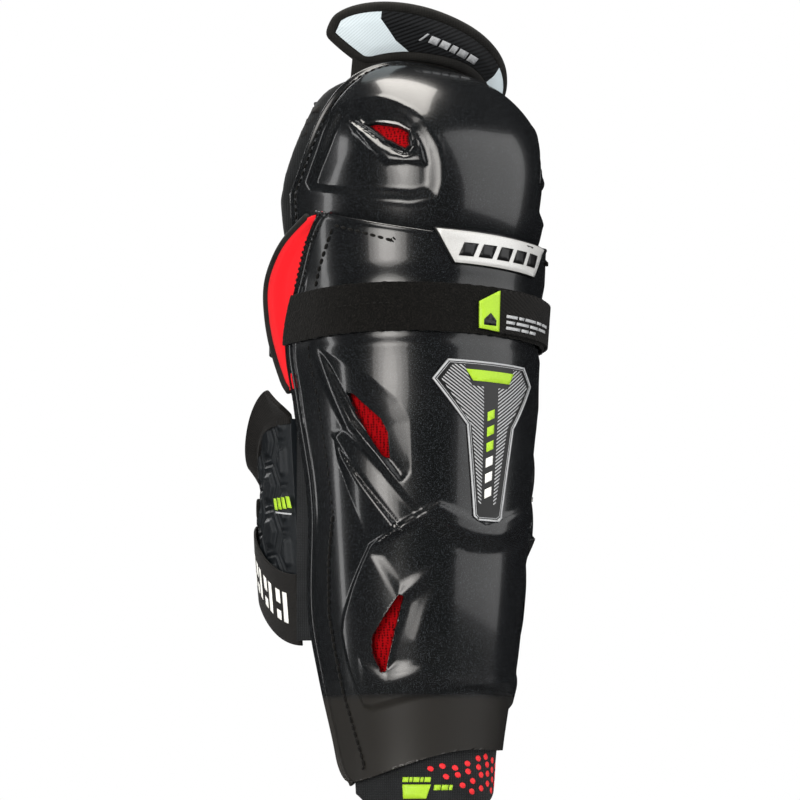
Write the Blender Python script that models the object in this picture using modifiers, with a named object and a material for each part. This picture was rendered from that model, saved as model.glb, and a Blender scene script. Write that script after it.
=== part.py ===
"""Right-leg ice hockey shin guard: a hard shin shell with its liner, a knee cap that flexes on the
knee axis, a thigh guard, a calf guard and two wrap-round straps.

The leg axis is +Z. The front of the shin faces -Y, and the wearer's right, the outer side of the
leg, is -X. The origin is on the leg axis, level with the lowest edge of the shin shell. Sizes are
in millimetres and degrees; MM turns them into metres where points are made.
"""

import math

import bmesh
import bpy
from mathutils import Matrix, Vector

MM = 0.001
GAP = 0.3  # between pieces that touch
FACET_GAP = 0.8  # between curved pieces whose facets don't line up

# ---- driving dimensions ----
SHELL_WALL = 3.0
MESH_WALL = 0.8
FOAM_WALL = 6.0
LINER_WALL = 8.0
WEBBING = 1.6
PLATE_WALL = 1.0
TRIM_WALL = 0.6

# The shin shell's cross-section at each height: (height, half width, depth in front of the axis).
SHIN_SECTIONS = (
    (-5, 48, 44), (20, 50, 46), (60, 56.5, 51), (100, 61.5, 55.5), (165, 67, 60.5),
    (225, 72, 65), (261, 75, 67.5), (300, 78, 70), (340, 80, 71),
)
# How far behind the leg axis the shell's side flanges reach: (height, y).
FLANGE_EDGE = (
    (0, 14), (20, 18), (60, 25), (100, 30), (165, 23),
    (225, 32), (261, 36), (300, 17), (320, 6), (336, -8),
)
SHIN_BLUNTNESS = 0.06  # how much squarer than an ellipse the front is
SHIN_TOP = 315.0  # at the front
SHIN_TOP_RISE = 19.5  # from the front to the sides
SHIN_BOTTOM_ARCH = 19.0
LINER_TOP = 280.0
LINER_BOTTOM = 27.0
TONGUE_LOW, TONGUE_HIGH = -15.0, 24.0

# The knee cap is turned about the knee axis, which runs left to right.
KNEE_Y, KNEE_Z = 9.5, 350.0
CAP_RADIUS = 84.0
CAP_HALF_WIDTH = 75.0
CAP_SQUARENESS = (2.3, 2.75)  # below the knee axis, and above it
CAP_BOTTOM = 300.0
CAP_SIDE_RIM = 108.0  # degrees from straight ahead to the rim, at the sides
CAP_TOP_RIM = 78.0
KNEE_PAD_WALL = 9.0
KNEE_LINER_WALL = 4.0

# The liner's side wings stand behind the flanges: (height, y of the wing's back edge).
WING_EDGE = ((232, 37.5), (238, 42), (263, 51), (284, 54), (299, 52), (312, 42), (321, 30), (331, 8))
WING_WALL = 2.6
WING_ROWS = 12
WING_BINDING = 1.5  # radius

# The thigh guard is a padded crescent, bent round the thigh and leaning forward.
THIGH_Z = 436.0
THIGH_Y = -12.0
THIGH_HALF_WIDTH = 66.0
THIGH_UP, THIGH_DOWN = 22.0, 20.0
THIGH_BEND = 122.0  # radius of the bend
THIGH_LEAN = 0.55
THIGH_TILT = 10.0  # the outer end stands higher
THIGH_CLEARANCE = 7.5  # above the knee cap
THIGH_WALL = 5.0
THIGH_BINDING = 2.2
THIGH_LINING_WALL = 1.5
THIGH_FACE_WALL = 0.8
THIGH_HINGE = (-9.0, 436.0)  # y and z of the seam over the cap that it tilts about

# The calf's outline at each height: (height, half width, depth behind CALF_Y).
CALF_SECTIONS = (
    (75, 57, 86), (110, 60, 89), (150, 64.5, 90), (184, 67.5, 84), (205, 69, 84), (240, 70, 84),
)
CALF_Y = 30.0
CALF_SQUARENESS = 2.5
CALF_START, CALF_END = 2.5, 78.0  # degrees round from the outer side towards the back
CALF_PAD_WALL = 7.0
CALF_LINING_WALL = 3.0
CALF_COLLAR_WALL = 3.0
CALF_SEAM = (-66.0, 33.0)  # x and y of the seam that the calf guard swings about
CALF_SEAM_HEIGHT = 150.0
PULL_LOOP = (5.0, 1.3)  # radius of the ring, and of its cord
PULL_LOOP_AT = (38.0, 166.0)  # degrees round the calf, and height

UPPER_STRAP = (259.0, 286.0)  # lower and upper edge
# The upper strap's way round the back of the leg, seen from above: (x, y).
UPPER_STRAP_WAY = (
    (-62, 68), (-52, 82), (-30, 93), (0, 97), (35, 94), (62, 82), (77, 66), (82.5, 48), (83, 28), (82.5, 7),
)
UPPER_ANCHOR_WAY = ((-68.5, 38), (-67.5, 50), (-64, 60))
UPPER_STRAP_TURN = (-65.0, 64.0)  # between the sewn stub and the strap
UPPER_TAB_TURN = (82.6, 3.5)  # between the strap and its hook tab, which peels
UPPER_TAB = (-9, 91)  # degrees round from the front
TAB_FLAG = (-8, 1)
LOWER_STRAP_WIDTH = 42.0
# The lower strap's way from behind the calf to the inner side of the leg: (x, y).
LOWER_STRAP_WAY = ((0, 122.5), (30, 118), (52, 100), (66, 76), (70, 54), (69, 36), (66.5, 21))
LOWER_STRAP_HEIGHTS = (80.0, 116.0, 84.0)  # lower edge at the seam, behind the calf, and at its tab
LOWER_STRAP_SLOPE = 0.09
LOWER_TAB_TURN = (66.3, 18.0)
# On the shell's inner flank: (lower edge, upper edge, first degrees, last degrees).
LOOP_PATCH = (82, 128, 72, 108)
LOWER_TAB = (84, 126, 76, 104)

# Vent outlines on the outer side of the shin shell: (degrees round from the front, height).
VENT_UPPER = ((-74, 225), (-69, 223), (-54, 208), (-50.5, 200), (-50, 185), (-53.5, 186.5), (-66, 207))
VENT_LOWER = ((-46, 107), (-43, 106), (-55, 63.5), (-58, 62.5), (-63.5, 74), (-63.5, 82))
# Knee vent outline: (degrees round from the front, degrees up from the knee axis).
VENT_KNEE = ((-59.5, 24), (-54, 24), (-43, 21), (-38.5, 18), (-38, 12), (-40, 10), (-49, 15.5))

# The badge's half width at each height: (height, degrees).
BADGE = ((150, 8), (205, 13.5), (231, 28.5), (243, 22))

# Colours are (red, green, blue, roughness).
GLOSS_BLACK = (0.012, 0.014, 0.016, 0.15)
DULL_BLACK = (0.015, 0.014, 0.013, 0.8)
FABRIC_BLACK = (0.02, 0.018, 0.016, 0.95)
SLATE = (0.014, 0.018, 0.021, 0.55)
RED = (0.75, 0.0, 0.006, 0.7)
LIME = (0.45, 0.65, 0.02, 0.5)
SILVER = (0.55, 0.55, 0.55, 0.3)
PALE_GREY = (0.58, 0.65, 0.68, 0.7)


# ---- shared helpers ----
def clear_scene():
    for obj in list(bpy.data.objects):
        bpy.data.objects.remove(obj, do_unlink=True)


def collection(name):
    made = bpy.data.collections.new(name)
    bpy.context.scene.collection.children.link(made)
    return made


clear_scene()
PARTS = collection("shin_guard")
CUTTERS = collection("cutters")


def along(table, where, column=1):
    """A table's value between its rows, on a smooth curve through them."""
    where = min(max(where, table[0][0]), table[-1][0])
    last = len(table) - 1
    i = max(j for j in range(last) if table[j][0] <= where)

    def slope(j):
        low, high = table[max(j - 1, 0)], table[min(j + 1, last)]
        return (high[column] - low[column]) / (high[0] - low[0])

    step = table[i + 1][0] - table[i][0]
    t = (where - table[i][0]) / step
    return (
        (2 * t**3 - 3 * t**2 + 1) * table[i][column]
        + (t**3 - 2 * t**2 + t) * step * slope(i)
        + (3 * t**2 - 2 * t**3) * table[i + 1][column]
        + (t**3 - t**2) * step * slope(i + 1)
    )


def way_point(way, share):
    """The point a share of the way through a list of points, on a smooth curve through them."""
    place = share * (len(way) - 1)
    return [along([(i, p[axis]) for i, p in enumerate(way)], place) for axis in (0, 1)]


def blend(start, end, share):
    return start + (end - start) * share


def ease(value):
    """0 below 0, 1 above 1, and smooth between."""
    value = min(max(value, 0.0), 1.0)
    return value * value * (3 - 2 * value)


def material(name, look):
    made = bpy.data.materials.new(name)
    made.use_nodes = True
    shader = made.node_tree.nodes["Principled BSDF"]
    shader.inputs["Base Color"].default_value = (*look[:3], 1.0)
    shader.inputs["Roughness"].default_value = look[3]
    shader.inputs["Metallic"].default_value = 0.9 if look is SILVER else 0.0
    return made


def add_object(name, data, look, holder=PARTS):
    made = bpy.data.objects.new(name, data)
    data.materials.append(material(name, look))
    holder.objects.link(made)
    return made


def add_mesh(name, bm, look, holder=PARTS):
    mesh = bpy.data.meshes.new(name)
    bm.to_mesh(mesh)
    bm.free()
    mesh.shade_smooth()
    return add_object(name, mesh, look, holder)


def thicken(obj, wall, side=-1):
    """Gives an open surface a wall: behind its face, or in front of it with side 1."""
    solid = obj.modifiers.new("wall", "SOLIDIFY")
    solid.thickness = wall * MM
    solid.offset = side
    return obj


def panel(name, look, columns, rows, place, wall, side=-1):
    """A sheet of columns x rows faces, laid on a surface by place(across, up), with a wall."""
    bm = bmesh.new()
    bmesh.ops.create_grid(bm, x_segments=columns, y_segments=rows, size=0.5)
    for vert in bm.verts:
        vert.co = place(vert.co.x + 0.5, vert.co.y + 0.5)
    return thicken(add_mesh(name, bm, look), wall, side)


def ribbon(name, look, columns, way, edges):
    """Upright webbing along a way seen from above, between a lower and an upper edge."""

    def place(across, up):
        x, y = way_point(way, across)
        return Vector((x, y, blend(*edges, up))) * MM

    return panel(name, look, columns, 2, place, WEBBING, side=1)


def tube(name, look, points, radius, closed=False):
    """Round piping through points."""
    curve = bpy.data.curves.new(name, "CURVE")
    curve.dimensions = "3D"
    curve.bevel_depth = radius * MM
    curve.bevel_resolution = 1
    curve.use_fill_caps = True
    spline = curve.splines.new("POLY")
    spline.points.add(len(points) - 1)
    for knot, point in zip(spline.points, points):
        knot.co = (*point, 1.0)
    spline.use_cyclic_u = closed
    return add_object(name, curve, look)


def prisms(name, outlines, outer, inner):
    """Closed prisms to cut windows with. outer and inner place an outline's corners, off each face."""
    bm = bmesh.new()
    for outline in outlines:
        face = bm.faces.new([bm.verts.new(outer(*corner)) for corner in outline])
        pushed = bmesh.ops.extrude_face_region(bm, geom=[face])["geom"]
        for vert in [item for item in pushed if isinstance(item, bmesh.types.BMVert)]:
            corner = min(outline, key=lambda c: (outer(*c) - vert.co).length)
            vert.co = inner(*corner)
    bmesh.ops.triangulate(bm, faces=bm.faces)
    bmesh.ops.recalc_face_normals(bm, faces=bm.faces)
    made = add_mesh(name, bm, GLOSS_BLACK, CUTTERS)
    made.hide_render = True
    made.display_type = "WIRE"
    return made


def cut(obj, cutter):
    windows = obj.modifiers.new("windows", "BOOLEAN")
    windows.object = cutter
    windows.operation = "DIFFERENCE"


def both_sides(outline):
    """An outline on the outer side of the leg, and its mirror image on the inner side."""
    return [outline, tuple((-angle, height) for angle, height in reversed(outline))]


def span_of(outline, margin):
    """The lowest and highest corner of the box round an outline, with a margin."""
    angles, heights = zip(*outline)
    return min(angles) - margin, max(angles) + margin, min(heights) - margin, max(heights) + margin


# ---- shin shell, liner and what is fastened to them ----
def shin_point(angle, height, lift=0.0):
    """A point over the shell's outer face: degrees round from the front, height, and lift off it."""
    width = along(SHIN_SECTIONS, height, 1) + lift
    depth = along(SHIN_SECTIONS, height, 2) + lift
    turn = math.radians(angle)
    if abs(angle) <= 90:
        x = math.sin(turn) * (1 + SHIN_BLUNTNESS * math.cos(turn) ** 2)
        y = -math.cos(turn)
    else:
        y = abs(turn) - math.pi / 2
        x = math.copysign(math.cos(0.35 * y), turn)
    return Vector((width * x, depth * y, height)) * MM


def angle_at(y, height):
    """Degrees round from the front at which the shell's side reaches y."""
    depth = along(SHIN_SECTIONS, height, 2)
    if y > 0:
        return 90 + math.degrees(y / depth)
    return math.degrees(math.acos(-y / depth))


def flange_angle(height):
    return angle_at(along(FLANGE_EDGE, height), height)


def shin_top(angle):
    return SHIN_TOP + SHIN_TOP_RISE * min(abs(angle) / 90, 1) ** 2


def shin_bottom(angle):
    """The lower edge arches up over the instep and stays high on the inner side."""
    return SHIN_BOTTOM_ARCH * ease((angle + 100) / 105)


def shin_panel(name, look, columns, rows, reach, low, high, lift, wall):
    """A panel that follows the shell. reach(height) gives its end angles, low and high its edges."""

    def place(across, up):
        height = blend(low(0), high(0), up)
        for _ in range(3):  # the edges slope, so the height and the reach settle together
            angle = blend(*reach(height), across)
            height = blend(low(angle), high(angle), up)
        return shin_point(angle, height, lift)

    return panel(name, look, columns, rows, place, wall)


def fixed(value):
    return lambda _: value


def inside_flanges(margin):
    """From flange to flange, short of their edges by a margin in degrees."""
    return lambda height: (margin - flange_angle(height), flange_angle(height) - margin)


MESH_LIFT = -SHELL_WALL - GAP
FOAM_LIFT = MESH_LIFT - MESH_WALL - GAP
LINER_LIFT = FOAM_LIFT - FOAM_WALL - GAP

shell = shin_panel(
    "shin_shell", GLOSS_BLACK, 32, 18, inside_flanges(0), shin_bottom, shin_top, 0, SHELL_WALL,
)
windows = prisms(
    "shin_windows",
    both_sides(VENT_UPPER) + both_sides(VENT_LOWER),
    lambda angle, height: shin_point(angle, height, 4),
    lambda angle, height: shin_point(angle, height, -SHELL_WALL - 4),
)
cut(shell, windows)

for row, outline in (("upper", VENT_UPPER), ("lower", VENT_LOWER)):
    for side, shape in zip(("lateral", "medial"), both_sides(outline)):
        left, right, bottom, top = span_of(shape, 3)
        shin_panel(
            f"vent_mesh_{row}_{side}", RED, 4, 4, fixed((left, right)), fixed(bottom), fixed(top),
            MESH_LIFT, MESH_WALL,
        )

shin_panel(
    "shin_foam", SLATE, 18, 9, inside_flanges(3), fixed(LINER_BOTTOM), fixed(LINER_TOP),
    FOAM_LIFT, FOAM_WALL,
)
shin_panel(
    "shin_liner", FABRIC_BLACK, 18, 9, inside_flanges(3), fixed(LINER_BOTTOM), fixed(LINER_TOP),
    LINER_LIFT, LINER_WALL,
)
shin_panel(
    "ankle_tongue", FABRIC_BLACK, 14, 3, fixed((-96, 76)),
    lambda angle: TONGUE_LOW + 12 * ease((angle - 10) / 60), fixed(TONGUE_HIGH), MESH_LIFT, 4,
)
shin_panel(
    "name_plate", SILVER, 8, 1, lambda height: (-6 - height / 15, 9 + height / 12.6), fixed(298),
    lambda angle: shin_top(angle) - 0.8, FACET_GAP + PLATE_WALL, PLATE_WALL,
)


def badge_place(across, up):
    height = blend(BADGE[0][0], BADGE[-1][0], up)
    return shin_point(blend(-1, 1, across) * along(BADGE, height), height, FACET_GAP + PLATE_WALL)


panel("shin_badge", DULL_BLACK, 6, 10, badge_place, PLATE_WALL)
shin_panel(
    "badge_bar", LIME, 4, 1, fixed((-12, 12)), fixed(230.5), fixed(236.5),
    FACET_GAP + PLATE_WALL + GAP + TRIM_WALL, TRIM_WALL,
)

for side, sign in (("lateral", -1), ("medial", 1)):

    def wing_place(across, up, sign=sign):
        height = blend(WING_EDGE[0][0], WING_EDGE[-1][0], up)
        start = angle_at(along(FLANGE_EDGE, height) + 1.5, height)
        end = angle_at(along(WING_EDGE, height), height)
        angle = blend(start, end, across if sign > 0 else 1 - across)
        return shin_point(sign * angle, height, -0.3)

    def binding_point(step, count, sign=sign):
        height = blend(WING_EDGE[0][0], WING_EDGE[-1][0], step / count)
        slope = along(WING_EDGE, height + 1) - along(WING_EDGE, height - 1)
        away = (WING_BINDING + 1.5 * FACET_GAP) / math.hypot(2, slope)
        back = along(WING_EDGE, height) + 2 * away
        height -= slope * away
        return shin_point(sign * angle_at(back, height), height, -0.3 - WING_WALL / 2)

    panel(f"side_wing_{side}", RED, 4, WING_ROWS, wing_place, WING_WALL)
    route = [binding_point(step, WING_ROWS) for step in range(WING_ROWS + 1)]
    tube(f"wing_binding_{side}", FABRIC_BLACK, route, WING_BINDING)

# ---- knee cap, its padding, and the thigh guard ----
CAP_CENTRE = Vector((0, KNEE_Y, KNEE_Z))


def cap_surface(direction, lift=0.0):
    """The cap's outer face, or a face lifted off it, along a unit direction from its centre."""
    turned = math.hypot(direction.y, direction.z)
    squareness = blend(*CAP_SQUARENESS, ease((direction.z / max(turned, 1e-6) + 0.17) / 0.67))
    sideways = (abs(direction.x) / (CAP_HALF_WIDTH + lift)) ** squareness
    total = sideways + (turned / (CAP_RADIUS + lift)) ** squareness
    return (CAP_CENTRE + direction * total ** (-1 / squareness)) * MM


def cap_point(angle, rise, lift=0.0):
    """A point over the cap: degrees round from the front, and degrees up from the knee axis."""
    angle, rise = math.radians(angle), math.radians(rise)
    level = math.cos(rise)
    return cap_surface(Vector((level * math.sin(angle), -level * math.cos(angle), math.sin(rise))), lift)


def cap_rim(turn):
    """Degrees from straight ahead to the rim, turning from the inner side over the top."""
    up = math.sin(turn)
    if up < 0:
        return CAP_SIDE_RIM
    return blend(CAP_SIDE_RIM, CAP_TOP_RIM, min(up / 0.95, 1) ** 0.8)


def cup(name, look, lift, wall, wider, bottom):
    """A bowl over the knee, open to the back. Its rim is wider than the cap's by some degrees."""
    bm = bmesh.new()
    bmesh.ops.create_uvsphere(bm, u_segments=32, v_segments=20, radius=1)
    bmesh.ops.bisect_plane(
        bm, geom=bm.verts[:] + bm.edges[:] + bm.faces[:], plane_co=(0, 0, 0), plane_no=(0, 0, 1),
        clear_inner=True, dist=1e-6,
    )
    for vert in bm.verts:
        turn = math.atan2(vert.co.y, vert.co.x)
        share = math.acos(min(max(vert.co.z, 0), 1)) / (math.pi / 2)
        ahead = math.radians(share * (cap_rim(turn) + wider))
        across = math.sin(ahead)
        ray = Vector((across * math.cos(turn), -math.cos(ahead), across * math.sin(turn)))
        vert.co = cap_surface(ray, lift)
    bmesh.ops.bisect_plane(
        bm, geom=bm.verts[:] + bm.edges[:] + bm.faces[:], plane_co=(0, 0, bottom * MM), plane_no=(0, 0, 1),
        clear_inner=True, dist=1e-6,
    )
    return thicken(add_mesh(name, bm, look), wall)


knee_shell = cup("knee_shell", GLOSS_BLACK, 0, SHELL_WALL, 0, CAP_BOTTOM)
knee_windows = prisms(
    "knee_windows",
    both_sides(VENT_KNEE),
    lambda angle, rise: cap_point(angle, rise, 4),
    lambda angle, rise: cap_point(angle, rise, -SHELL_WALL - 4),
)
cut(knee_shell, knee_windows)
KNEE_PAD_LIFT = -SHELL_WALL - MESH_WALL - 2 * FACET_GAP
cup("knee_pad", FABRIC_BLACK, KNEE_PAD_LIFT, KNEE_PAD_WALL, 8, CAP_BOTTOM + 6.5)
cup(
    "knee_liner", PALE_GREY, KNEE_PAD_LIFT - KNEE_PAD_WALL - FACET_GAP, KNEE_LINER_WALL, 10.5,
    CAP_BOTTOM + 9,
)

for side, shape in zip(("lateral", "medial"), both_sides(VENT_KNEE)):
    left, right, bottom, top = span_of(shape, 3)

    def mesh_place(across, up, left=left, right=right, bottom=bottom, top=top):
        return cap_point(blend(left, right, across), blend(bottom, top, up), -SHELL_WALL - FACET_GAP)

    panel(f"knee_vent_mesh_{side}", RED, 4, 4, mesh_place, MESH_WALL)


def thigh_point(along_x, up, lift=0.0):
    """A point over the thigh guard's front face, before and after it is tilted sideways."""
    bend = math.asin(along_x / THIGH_BEND)
    out = lift / math.hypot(1, THIGH_LEAN)
    x = along_x + out * math.sin(bend)
    y = THIGH_Y - THIGH_LEAN * up + THIGH_BEND * (1 - math.cos(bend)) - out * math.cos(bend)
    up -= out * THIGH_LEAN
    tilt = math.radians(THIGH_TILT)
    return Vector((
        x * math.cos(tilt) + up * math.sin(tilt) + 2,
        y,
        THIGH_Z - x * math.sin(tilt) + up * math.cos(tilt),
    )) * MM


def thigh_edge(share, up):
    """How far the crescent reaches above (up 1) or below (up -1) its middle line."""
    round_off = max(1 - abs(share) ** 2.4, 0) ** (1 / 2.4)
    if up > 0:
        return THIGH_UP * round_off
    x = share * THIGH_HALF_WIDTH
    turned = CAP_RADIUS * max(1 - (abs(x) / CAP_HALF_WIDTH) ** 2.75, 0) ** (1 / 2.75)
    tilt = math.radians(THIGH_TILT)
    over_cap = (KNEE_Z + turned + THIGH_CLEARANCE - THIGH_Z + x * math.sin(tilt)) / math.cos(tilt)
    return max(-THIGH_DOWN * round_off, min(over_cap, THIGH_UP * round_off - 3))


def thigh_panel(name, look, columns, rows, start, end, inset, lift, wall):
    """Part of the crescent between two shares of its half width, set in from its edge."""

    def place(across, up):
        share = blend(start, end, across)
        low, high = thigh_edge(share, -1) + inset, thigh_edge(share, 1) - inset
        return thigh_point(share * THIGH_HALF_WIDTH, blend(low, high, up), lift)

    return panel(name, look, columns, rows, place, wall)


thigh_panel("thigh_core", FABRIC_BLACK, 22, 3, -0.985, 0.985, 0, 0, THIGH_WALL)
for side, look, columns, start, end in (
    ("lateral", PALE_GREY, 5, -0.86, -0.34),
    ("centre", DULL_BLACK, 8, -0.33, 0.55),
    ("medial", PALE_GREY, 4, 0.56, 0.86),
):
    thigh_panel(
        f"thigh_face_{side}", look, columns, 2, start, end, 3, GAP + THIGH_FACE_WALL, THIGH_FACE_WALL,
    )
thigh_panel(
    "thigh_lining", FABRIC_BLACK, 22, 2, -0.9, 0.9, 2, -THIGH_WALL - FACET_GAP, THIGH_LINING_WALL,
)


def thigh_outline(turn):
    """The crescent's edge at a turn from its inner end over the top: (along, up)."""
    share = 0.985 * math.copysign(abs(math.cos(turn)) ** 0.9, math.cos(turn))
    return share * THIGH_HALF_WIDTH, thigh_edge(share, math.sin(turn))


def thigh_rim_point(step, count):
    """A point just off the crescent's edge, where its binding runs."""
    turn = 2 * math.pi * (step + 0.5) / count
    before, after = thigh_outline(turn - 0.05), thigh_outline(turn + 0.05)
    run, rise = after[0] - before[0], after[1] - before[1]
    reach = (THIGH_BINDING + FACET_GAP) / math.hypot(run, rise)
    x, up = thigh_outline(turn)
    return thigh_point(x + rise * reach, up - run * reach, -THIGH_WALL / 2)


RIM_STEPS = 48
rim = [thigh_rim_point(step, RIM_STEPS) for step in range(RIM_STEPS)]
tube("thigh_binding", FABRIC_BLACK, rim, THIGH_BINDING, closed=True)


# ---- calf guard ----
def calf_point(angle, height, lift=0.0):
    """A point over the calf guard: degrees round from the outer side towards the back."""
    turn = math.radians(angle)
    power = 2 / CALF_SQUARENESS
    width = along(CALF_SECTIONS, height, 1) + lift
    depth = along(CALF_SECTIONS, height, 2) + lift
    x = math.copysign(abs(math.cos(turn)) ** power, math.cos(turn))
    return Vector((-width * x, CALF_Y + depth * math.sin(turn) ** power, height)) * MM


def strap_low(angle):
    """The lower strap climbs from the flange to the back of the calf."""
    return blend(*LOWER_STRAP_HEIGHTS[:2], ease(angle / 60))


def collar_low(angle):
    return blend(216, 172, ease((angle - 12) / 60))


def collar_high(angle):
    return min(217 + 1.5 * angle, blend(234, 192, ease((angle - 5) / 50)))


def calf_panel(name, look, columns, rows, end, low, high, lift, wall):
    """A panel round the calf from the outer side to an end angle. lift gives its lower and upper lift."""

    def place(across, up):
        angle = blend(end, CALF_START, across)
        return calf_point(angle, blend(low(angle), high(angle), up), blend(*lift, up))

    return panel(name, look, columns, rows, place, wall)


calf_panel(
    "calf_pad", SLATE, 12, 8, CALF_END, lambda angle: strap_low(angle) + 4,
    lambda angle: collar_low(angle) - 1, (0, 0), CALF_PAD_WALL,
)
calf_panel(
    "calf_lining", FABRIC_BLACK, 12, 6, CALF_END, lambda angle: strap_low(angle) + 6,
    lambda angle: collar_low(angle) - 3, (-CALF_PAD_WALL - GAP,) * 2, CALF_LINING_WALL,
)
calf_panel(
    "calf_collar", FABRIC_BLACK, 14, 3, CALF_END, collar_low, collar_high, (1, 8), CALF_COLLAR_WALL,
)


def lower_strap_place(across, up):
    """Half the strap follows the calf, and half runs on to the inner side of the leg."""
    if across <= 0.5:
        angle = blend(CALF_START, 90, across * 2)
        height = strap_low(angle) + LOWER_STRAP_WIDTH * up
        return calf_point(angle, height, 1 + WEBBING)
    share = 2 * across - 1
    x, y = way_point(LOWER_STRAP_WAY, share)
    height = blend(*LOWER_STRAP_HEIGHTS[1:], ease(share)) + LOWER_STRAP_WIDTH * up
    middle = LOWER_STRAP_HEIGHTS[2] + LOWER_STRAP_WIDTH / 2
    return Vector((x + LOWER_STRAP_SLOPE * ease(share) * (height - middle), y, height)) * MM


panel("lower_strap", FABRIC_BLACK, 32, 3, lower_strap_place, WEBBING, side=1)
bpy.ops.mesh.primitive_torus_add(
    major_radius=PULL_LOOP[0] * MM, minor_radius=PULL_LOOP[1] * MM, major_segments=16, minor_segments=6,
    location=calf_point(*PULL_LOOP_AT, 4.5), rotation=(math.pi / 2, 0, math.radians(PULL_LOOP_AT[0])),
)
loop = bpy.context.object
loop.name = "strap_pull_loop"
loop.data.materials.append(material("strap_pull_loop", FABRIC_BLACK))
for holder in list(loop.users_collection):
    holder.objects.unlink(loop)
PARTS.objects.link(loop)


def flank_panel(name, look, columns, patch, lift):
    """Flat goods on the shell: (lower edge, upper edge, first degrees, last degrees)."""
    low, high, start, end = patch
    shin_panel(name, look, columns, 1, fixed((start, end)), fixed(low), fixed(high), lift, WEBBING)


flank_panel("lower_loop_patch", DULL_BLACK, 6, LOOP_PATCH, FACET_GAP + WEBBING)
flank_panel("lower_hook_tab", FABRIC_BLACK, 6, LOWER_TAB, FACET_GAP + GAP + 2 * WEBBING)

# ---- upper strap ----
STRAP_LOW, STRAP_HIGH = UPPER_STRAP
BAND_LIFT = FACET_GAP + WEBBING
TAB_LIFT = BAND_LIFT + GAP + WEBBING
shin_panel(
    "upper_loop_band", DULL_BLACK, 26, 1, lambda height: (1 - flange_angle(height), 86), fixed(STRAP_LOW),
    fixed(STRAP_HIGH), BAND_LIFT, WEBBING,
)
flank_panel("upper_hook_tab", FABRIC_BLACK, 12, (STRAP_LOW + 1, STRAP_HIGH - 1, *UPPER_TAB), TAB_LIFT)
shin_panel(
    "hook_tab_flag", LIME, 2, 1, fixed(TAB_FLAG), fixed(STRAP_LOW + 2), fixed(STRAP_HIGH - 2),
    TAB_LIFT + GAP + TRIM_WALL, TRIM_WALL,
)
ribbon("upper_strap", FABRIC_BLACK, 24, UPPER_STRAP_WAY, UPPER_STRAP)
ribbon("upper_strap_anchor", FABRIC_BLACK, 5, UPPER_ANCHOR_WAY, UPPER_STRAP)


# ---- joint axes ----
def joint_axis(name, place, pieces, holder=None):
    """An empty on a joint's axis, which carries the pieces that move about it."""
    axis = bpy.data.objects.new(name, None)
    axis.empty_display_size = 0.02
    PARTS.objects.link(axis)
    axis.location = Vector(place) * MM
    if holder:
        axis.location -= holder.location
        axis.parent = holder
    for piece in pieces:
        obj = bpy.data.objects[piece]
        obj.parent = axis
        obj.matrix_parent_inverse = Matrix.Translation(-Vector(place) * MM)
    return axis


strap_height = (STRAP_LOW + STRAP_HIGH) / 2
tab_height = (LOWER_TAB[0] + LOWER_TAB[1]) / 2
knee_axis = joint_axis(
    "knee_axis", CAP_CENTRE,
    ("knee_shell", "knee_pad", "knee_liner", "knee_vent_mesh_lateral", "knee_vent_mesh_medial"),
)
joint_axis(
    "thigh_axis", (0, *THIGH_HINGE),
    (
        "thigh_core", "thigh_face_lateral", "thigh_face_centre", "thigh_face_medial", "thigh_lining",
        "thigh_binding",
    ),
    knee_axis,
)
strap_axis = joint_axis("upper_strap_axis", (*UPPER_STRAP_TURN, strap_height), ("upper_strap",))
joint_axis("upper_tab_axis", (*UPPER_TAB_TURN, strap_height), ("upper_hook_tab", "hook_tab_flag"), strap_axis)
calf_axis = joint_axis(
    "calf_axis", (*CALF_SEAM, CALF_SEAM_HEIGHT),
    ("calf_pad", "calf_lining", "calf_collar", "lower_strap", "strap_pull_loop"),
)
joint_axis("lower_tab_axis", (*LOWER_TAB_TURN, tab_height), ("lower_hook_tab",), calf_axis)
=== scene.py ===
# %% [markdown]
# # An ice hockey shin guard
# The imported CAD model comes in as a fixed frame: every solid at its real size and place, in metres, with the
# leg along +Z, the shin facing -Y and the outer side of a right leg at -X. Each plain solid is then replaced
# by a detailed piece of the same size that moves with the same body.

# %% Load the frame
import math

import bmesh
import bpy
import numpy as np
from mathutils import Matrix, Vector, noise


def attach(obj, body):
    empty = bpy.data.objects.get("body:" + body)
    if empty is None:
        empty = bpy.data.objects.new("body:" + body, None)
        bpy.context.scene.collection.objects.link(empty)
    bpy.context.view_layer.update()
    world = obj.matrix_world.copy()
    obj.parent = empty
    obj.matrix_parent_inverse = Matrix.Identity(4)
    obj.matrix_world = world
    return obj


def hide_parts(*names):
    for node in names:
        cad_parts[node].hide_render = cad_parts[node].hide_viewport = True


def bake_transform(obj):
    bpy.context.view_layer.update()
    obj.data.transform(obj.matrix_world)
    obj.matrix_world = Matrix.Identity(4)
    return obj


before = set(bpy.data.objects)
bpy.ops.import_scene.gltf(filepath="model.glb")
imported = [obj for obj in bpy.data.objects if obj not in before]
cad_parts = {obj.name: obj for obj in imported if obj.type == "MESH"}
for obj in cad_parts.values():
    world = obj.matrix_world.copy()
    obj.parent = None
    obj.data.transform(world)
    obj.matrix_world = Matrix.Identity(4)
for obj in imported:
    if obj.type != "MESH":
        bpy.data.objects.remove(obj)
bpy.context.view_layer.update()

MM = 0.001

# %% [markdown]
# ## Camera, lights and room
# The guard is seen from its front and outer side, slightly from below, through a long lens. Gloss black
# plastic shows little but what it reflects, so the room is what shapes it: a dark room with one round
# softbox near the lens, a panel overhead, and a wide dim wall on the right.

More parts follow.
